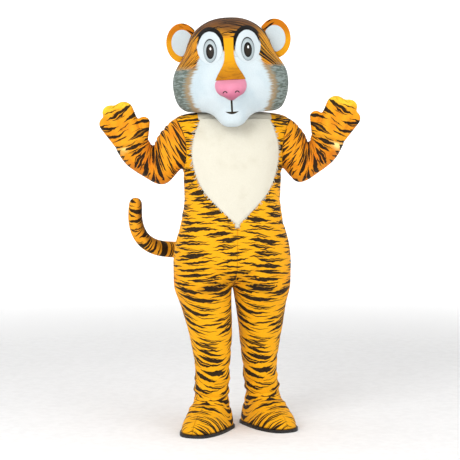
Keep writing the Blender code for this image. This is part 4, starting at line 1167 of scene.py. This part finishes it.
@dataclass
class Feet:
    """Foot covers of two halves each, on black soles."""

    cloth: float = 0.0028
    ankles: tuple[Pair, Pair] = ((-0.104, -0.045), (0.151, 0.035))
    toe_out: Pair = (math.radians(27.0), math.radians(17.0))
    creases: tuple[Crease, ...] = (
        Crease(0.02, 0.0, -0.0050, 0.008, 1.0, 0.0),
        Crease(0.05, 0.3, 0.0050, 0.011, 0.8, 0.01),
        Crease(0.08, -0.2, -0.0045, 0.010, 0.7, -0.01),
        Crease(0.115, 0.1, -0.0035, 0.012, 0.6, 0.02),
        Crease(0.03, 2.0, -0.0040, 0.009, 0.7, 0.02),
        Crease(0.03, -2.0, -0.0040, 0.009, 0.7, -0.02),
        Crease(0.04, 3.1, -0.0045, 0.009, 0.8, 0.0),
    )

    def build(self) -> None:
        """Sew each cover's halves, fold them, cut them out, and finish the soles."""
        finish = FOOT_PLUSH.material()
        foam = SOLE_FOAM.material()
        for number, (name, side) in enumerate(SIDES.items()):
            nodes = [f"foot_outer_{name}", f"foot_inner_{name}"]
            cloth = sew(nodes, Wall.SHARP_RIM, RIM_FOLD)
            back = unturned(cloth.points)
            x = (back[:, 0] - self.ankles[number][0]) * side
            y = back[:, 1] - self.ankles[number][1]
            out = self.toe_out[number]
            aside = x * math.cos(out) + y * math.sin(out)
            ahead = -(y * math.cos(out) - x * math.sin(out))
            angle = np.arctan2(aside, ahead)
            reach = np.hypot(aside, ahead)
            low = back[:, 2]
            along = (reach - 0.07) + (0.12 - low) * 0.6
            relief = folds(along, angle, self.creases)
            cloth.points = cloth.points + cloth.normals * relief[:, None] * ease(low, 0.02, 0.05)[:, None]
            cloth.values = {
                "along": along - 0.30 * np.abs(aside),
                "around": angle * (0.05 + 0.5 * reach),
                "shade": 0.9 * ease(low, 0.022, 0.014),
            }
            for half, node in enumerate(nodes):
                item = cut_out(cloth, half, f"{node}_cloth", self.cloth)
                dress(item, node, finish)
            sole = bpy.data.objects[f"sole_{name}"]
            sole.data.materials.clear()
            sole.data.materials.append(foam)


@dataclass
class Tail:
    """Stuffed tail that curls up beside the hip."""

    path: tuple[tuple[float, float, float], ...] = (
        (0.0, 0.200, 0.800), (-0.040, 0.243, 0.800), (-0.115, 0.268, 0.800), (-0.205, 0.255, 0.804),
        (-0.290, 0.205, 0.810), (-0.362, 0.165, 0.823), (-0.418, 0.145, 0.858), (-0.449, 0.138, 0.910),
        (-0.460, 0.135, 0.970), (-0.457, 0.132, 1.032),
    )

    def build(self) -> None:
        """Smooth the tail and store its own lines for the rings."""
        cloth = sew(["tail"], Wall.WHOLE, 0.0, levels=2)
        line = np.array(self.path)
        line[:, 2] += FLOOR_Z
        samples = []
        for start, end in zip(line, line[1:]):
            for share in np.linspace(0.0, 1.0, 24, endpoint=False):
                samples.append(start + (end - start) * share)
        samples.append(line[-1])
        track = np.array(samples)
        travel = np.concatenate([[0.0], np.cumsum(np.linalg.norm(np.diff(track, axis=0), axis=1))])
        gaps = np.linalg.norm(cloth.points[:, None, :] - track[None, :, :], axis=2)
        near = np.argmin(gaps, axis=1)
        offset = cloth.points - track[near]
        along = travel[near]
        beyond = near == len(track) - 1
        along[beyond] += offset[beyond, 2]
        angle = np.arctan2(offset[:, 0], -offset[:, 1])
        inner = ease(offset[:, 0], 0.006, 0.032) * ease(along, 0.30, 0.42)
        cloth.values = {
            "along": along + 0.018 * np.cos(angle),
            "around": angle * 0.042,
            "warm": np.full(len(along), 0.1),
            "shade": 0.80 * inner,
        }
        item = cut_out(cloth, 0, "tail_plush_form", 0.0)
        dress(item, "tail", TAIL_PLUSH.material())


@dataclass
class Chest:
    """Cream chest panel with tufts along its edges."""

    cloth: float = 0.003
    tufts: int = 230
    tuft_length: float = 0.030
    tuft_width: float = 0.0050
    band: Pair = (0.008, 0.0012)
    top: float = 1.425
    shares: tuple[float, ...] = (0.0, 0.35, 0.7, 1.0)

    def edge(self, cloth: Cloth) -> tuple[Points, Points, Points]:
        """Points along the panel's edge, with the normals and the ways out of the panel."""
        uses: dict[tuple[int, int], tuple[int, int]] = {}
        for face in cloth.faces:
            for start, end in zip(face, face[1:] + face[:1]):
                key = (min(start, end), max(start, end))
                if key in uses:
                    del uses[key]
                else:
                    uses[key] = (start, end)
        follow = dict(uses.values())
        first = min(follow, key=lambda corner: cloth.points[corner][2])
        loop = [first]
        while follow[loop[-1]] != first:
            loop.append(follow[loop[-1]])
        points = cloth.points[loop]
        normals = cloth.normals[loop]
        tangents = np.roll(points, -2, axis=0) - np.roll(points, 2, axis=0)
        out = np.cross(tangents, normals)
        out /= np.linalg.norm(out, axis=1)[:, None]
        middle_out = ((points - points.mean(axis=0)) * out).sum(axis=1).mean()
        return points, normals, out * (1.0 if middle_out > 0.0 else -1.0)

    def strip(self, points: Points, normals: Points, out: Points) -> tuple[list, list]:
        """Points and faces of the narrow band that carries the tufts."""
        vertices = []
        faces = []
        count = len(points)
        for corner in range(count):
            for across, depth in ((-1.0, 0.0), (0.25, 0.0), (0.25, -1.0), (-1.0, -1.0)):
                place = points[corner] + out[corner] * self.band[0] * across
                vertices.append(tuple(place + normals[corner] * (self.band[1] * depth - 0.0005)))
            after = (corner + 1) % count
            for side in range(4):
                other = (side + 1) % 4
                faces.append((4 * corner + side, 4 * after + side, 4 * after + other, 4 * corner + other))
        return vertices, faces

    def tuft(
        self, draw: np.random.Generator, point: Points, normal: Points, out: Points, base: int
    ) -> tuple[list, list]:
        """Points and faces of one tuft.

        Args:
            draw: source of random numbers.
            point: place on the panel's edge.
            normal: the panel's normal there.
            out: way out of the panel there.
            base: number of the tuft's first point.

        Returns:
            Points, and faces as lists of their numbers.
        """
        lean = draw.uniform(-0.5, 0.5)
        way = out + np.cross(normal, out) * lean + np.array((0.0, 0.0, -0.35))
        way -= normal * float(way @ normal)
        way /= np.linalg.norm(way)
        aside = np.cross(normal, way)
        length = self.tuft_length * draw.uniform(0.55, 1.15)
        width = self.tuft_width * draw.uniform(0.7, 1.2)
        root = point - out * self.band[0] * draw.uniform(0.1, 0.9) - normal * 0.0010
        drift = aside * lean * length * 0.25
        vertices = []
        for share in self.shares[:-1]:
            centre = root + way * length * share + drift * share ** 2
            centre = centre + normal * (0.0022 * math.sin(2.4 * share) - 0.0058 * share ** 2)
            half = width * 0.5 * (1.0 - share ** 1.6)
            for turn in range(3):
                angle = 2.0 * math.pi * turn / 3.0 + 0.5 * math.pi
                ring = aside * math.cos(angle) * half + normal * math.sin(angle) * half * 0.5
                vertices.append(tuple(centre + ring))
        vertices.append(tuple(root + way * length + drift - normal * 0.0044))
        last = base + 3 * (len(self.shares) - 2)
        faces = [(base + 2, base + 1, base)]
        for start in range(base, last + 3, 3):
            for turn in range(3):
                side = (start + turn, start + (turn + 1) % 3)
                faces.append((*side, last + 3) if start == last else (*side, side[1] + 3, side[0] + 3))
        return vertices, faces

    def fringe(self, cloth: Cloth, finish: bpy.types.Material) -> bpy.types.Object:
        """Make the tufts along the edge, fused to a narrow band.

        Args:
            cloth: the panel's smooth cloth.
            finish: material of the pile.

        Returns:
            The fringe.
        """
        points, normals, out = self.edge(cloth)
        vertices, faces = self.strip(points, normals, out)
        draw = np.random.default_rng(11)
        low = np.nonzero(points[:, 2] < self.top + FLOOR_Z)[0]
        for number in range(self.tufts):
            corner = low[int((number + draw.uniform(0.0, 0.9)) / self.tufts * len(low)) % len(low)]
            more, sides = self.tuft(draw, points[corner], normals[corner], out[corner], len(vertices))
            vertices += more
            faces += sides
        data = bpy.data.meshes.new("chest_fringe")
        data.from_pydata(vertices, [], faces)
        data.polygons.foreach_set("use_smooth", [True] * len(faces))
        item = bpy.data.objects.new("chest_fringe", data)
        bpy.context.scene.collection.objects.link(item)
        data.materials.append(finish)
        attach(item, "root")
        return item

    def build(self) -> None:
        """Smooth the panel and set the tufts along its edge."""
        cloth = sew(["chest_panel"], Wall.SHARP_RIM, RIM_FOLD)
        item = cut_out(cloth, 0, "chest_panel_cloth", self.cloth)
        finish = CHEST_FUR.material()
        dress(item, "chest_panel", finish)
        fringe = self.fringe(cloth, finish)


def head_local(points: Points) -> Points:
    """Points of the head before it tilts, with heights from the floor."""
    pivot = np.array(HEAD_PIVOT)
    back = np.array(Matrix.Rotation(-HEAD_TILT, 3, "Y"))
    local = (points - np.array(HEAD_SEAT) - pivot) @ back.T + pivot
    local[:, 2] -= FLOOR_Z
    return local


@dataclass
class Head:
    """Face, back and crown of the head, with eyes, ears, bridge and nose."""

    cloth: float = 0.006
    sag: float = 0.011
    places: tuple[tuple[str, str], ...] = (
        ("head_face", "face_plush"), ("head_back", "crown_plush"), ("head_crown", "crown_plush"),
    )

    def face_values(self, cloth: Cloth) -> None:
        """Store the head's own coordinates on a cloth."""
        x, y, z = head_local(cloth.points).T
        bow = np.minimum(((z - CHEEK_Z) / 0.13) ** 2, 1.0)
        cloth.values = {
            "face_x": x,
            "face_z": z,
            "depth": y,
            "behind": ease(y + 0.09 * bow, 0.045, 0.085),
            "over": np.arctan2(z - HEAD_AXIS_Z, -y) * 0.34,
            "aside": x + 0.8 * np.hypot(y, z - HEAD_AXIS_Z),
        }

    def build(self) -> None:
        """Build the shells and what sits on them."""
        cloth = sew([node for node, _ in self.places], Wall.SHARP_RIM, HEAD_RIM_FOLD)
        self.face_values(cloth)
        under = ease(-cloth.normals[:, 2], 0.25, 0.85) * ease(cloth.values["face_z"], 1.60, 1.50)
        cloth.points[:, 2] -= self.sag * under * ease(cloth.points[:, 0], 0.03, 0.15)
        fur = FACE_FUR.material()
        for number, (node, slot) in enumerate(self.places):
            item = cut_out(cloth, number, f"{node}_cloth", self.cloth)
            dress(item, node, fur)
        self.small_piece("nose_bridge", BRIDGE_FUR.material(), 0.003)
        self.small_piece("nose", NOSE_VINYL.material(), 0.003)
        for name, side in SIDES.items():
            patch = PatchPaint(f"patch_paint_{name}", (side * EYE_X, PATCH_Z), PATCH_RADII)
            self.small_piece(f"eye_patch_{name}", patch.material(), 0.003)
            paint = EyePaint(f"eye_paint_{name}", (side * EYE_X, EYE_Z))
            self.small_piece(f"eye_{name}", paint.material(), 0.002)
            self.small_piece(f"ear_{name}", EAR_FUR.material(), 0.0, Wall.WHOLE)
            self.small_piece(f"ear_lining_{name}", EAR_PALE.material(), 0.0, Wall.WHOLE)

    def small_piece(
        self, node: str, finish: bpy.types.Material, thick: float, wall: Wall = Wall.SHARP_RIM
    ) -> None:
        """Smooth one piece that sits on the head.

        Args:
            node: name of its node.
            finish: its material.
            thick: thickness of its cloth, or 0 for a closed form.
            wall: how its outside is found.
        """
        cloth = sew([node], wall, HEAD_RIM_FOLD)
        self.face_values(cloth)
        item = cut_out(cloth, 0, f"{node}_form", thick)
        dress(item, node, finish)


@dataclass
class Studio:
    """Pale floor and backdrop, soft lights and the camera."""

    distance: float = 8.0
    pixel: float = 0.00466
    frame: float = 460.0
    centre: Pair = (-0.0102, 0.921)
    eye_height: float = 1.60
    aim: float = -0.4
    world: float = 0.31
    glow: float = 0.46
    glow_span: Pair = (2.4, 7.0)
    lamps: tuple[tuple[str, tuple[float, float, float], float, float], ...] = (
        ("key", (-2.2, -4.2, 1.9), 2.6, 125.0),
        ("fill", (3.0, -3.0, 0.6), 3.0, 36.0),
        ("top", (0.0, -0.4, 3.0), 3.0, 38.0),
    )
    segments: int = 72
    dish: tuple[Pair, ...] = (
        (2.0, 0.0), (4.0, 0.0), (7.0, 0.0), (9.0, 0.0), (9.8, 0.10),
        (10.4, 0.45), (10.7, 1.1), (10.8, 2.2), (10.8, 8.0),
    )

    def build(self) -> None:
        """Set the floor, the lights and the camera."""
        count = self.segments
        turns = [2.0 * math.pi * turn / count for turn in range(count)]
        vertices = []
        for radius, height in self.dish:
            level = FLOOR_Z + height
            vertices += [(radius * math.cos(turn), radius * math.sin(turn), level) for turn in turns]
        faces = [tuple(range(count))]
        for start in range(0, count * (len(self.dish) - 1), count):
            for turn in range(count):
                after = (turn + 1) % count
                faces.append((start + turn, start + count + turn, start + count + after, start + after))
        data = bpy.data.meshes.new("backdrop")
        data.from_pydata(vertices, [], faces)
        data.polygons.foreach_set("use_smooth", [True] * len(faces))
        floor = bpy.data.objects.new("backdrop", data)
        bpy.context.scene.collection.objects.link(floor)
        graph = Graph("backdrop_paper")
        grain = graph.noise(graph.point(), 30.0, 3.0)
        colour = graph.blend(grain.step(0.3, 0.7), rgb("f4f4f4"), rgb("fafafa"))
        away = graph.node("ShaderNodeVectorMath", {"operation": "LENGTH"}, {0: graph.point()}, "Value")
        bright = (self.glow, self.glow, self.glow, 1.0)
        glow = graph.blend(away.step(*self.glow_span), (0.0, 0.0, 0.0, 1.0), bright)
        links = {"Base Color": colour, "Emission Color": glow}
        paper = graph.finish(links, {"Roughness": 0.9, "Emission Strength": 1.0})
        floor.data.materials.append(paper)
        for lamp in self.lamps:
            self.light(*lamp)
        world = bpy.data.worlds.new("studio")
        world.use_nodes = True
        shade = world.node_tree.nodes["Background"].inputs
        shade["Color"].default_value = (1.0, 1.0, 1.0, 1.0)
        shade["Strength"].default_value = self.world
        bpy.context.scene.world = world
        self.camera()

    def light(self, name: str, place: tuple[float, float, float], size: float, power: float) -> None:
        """Add a square soft light that points at the chest."""
        data = bpy.data.lights.new(name, "AREA")
        data.size = size
        data.energy = power
        item = bpy.data.objects.new(name, data)
        item.location = place
        aim = Vector((0.0, 0.0, self.aim)) - Vector(place)
        item.rotation_euler = aim.to_track_quat("-Z", "Y").to_euler()
        bpy.context.scene.collection.objects.link(item)

    def camera(self) -> None:
        """Add the camera ahead of the costume, aimed at its middle from head height."""
        data = bpy.data.cameras.new("view")
        data.sensor_width = 36.0
        width = self.pixel * self.frame
        drop = self.eye_height - self.centre[1]
        data.lens = data.sensor_width * math.hypot(self.distance, drop) / width
        item = bpy.data.objects.new("view", data)
        item.location = (self.centre[0], -self.distance, self.eye_height + FLOOR_Z)
        item.rotation_euler = (math.radians(90.0) - math.atan2(drop, self.distance), 0.0, 0.0)
        bpy.context.scene.collection.objects.link(item)
        bpy.context.scene.camera = item
        bpy.context.scene.view_settings.view_transform = "Standard"


def main() -> None:
    """Build every piece in order."""
    logging.basicConfig(level=logging.INFO, format="%(message)s")
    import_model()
    Studio().build()
    Jumpsuit().build()
    Mitts().build()
    Feet().build()
    Tail().build()
    Chest().build()
    Head().build()
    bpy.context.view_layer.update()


if __name__ == "__main__":
    main()
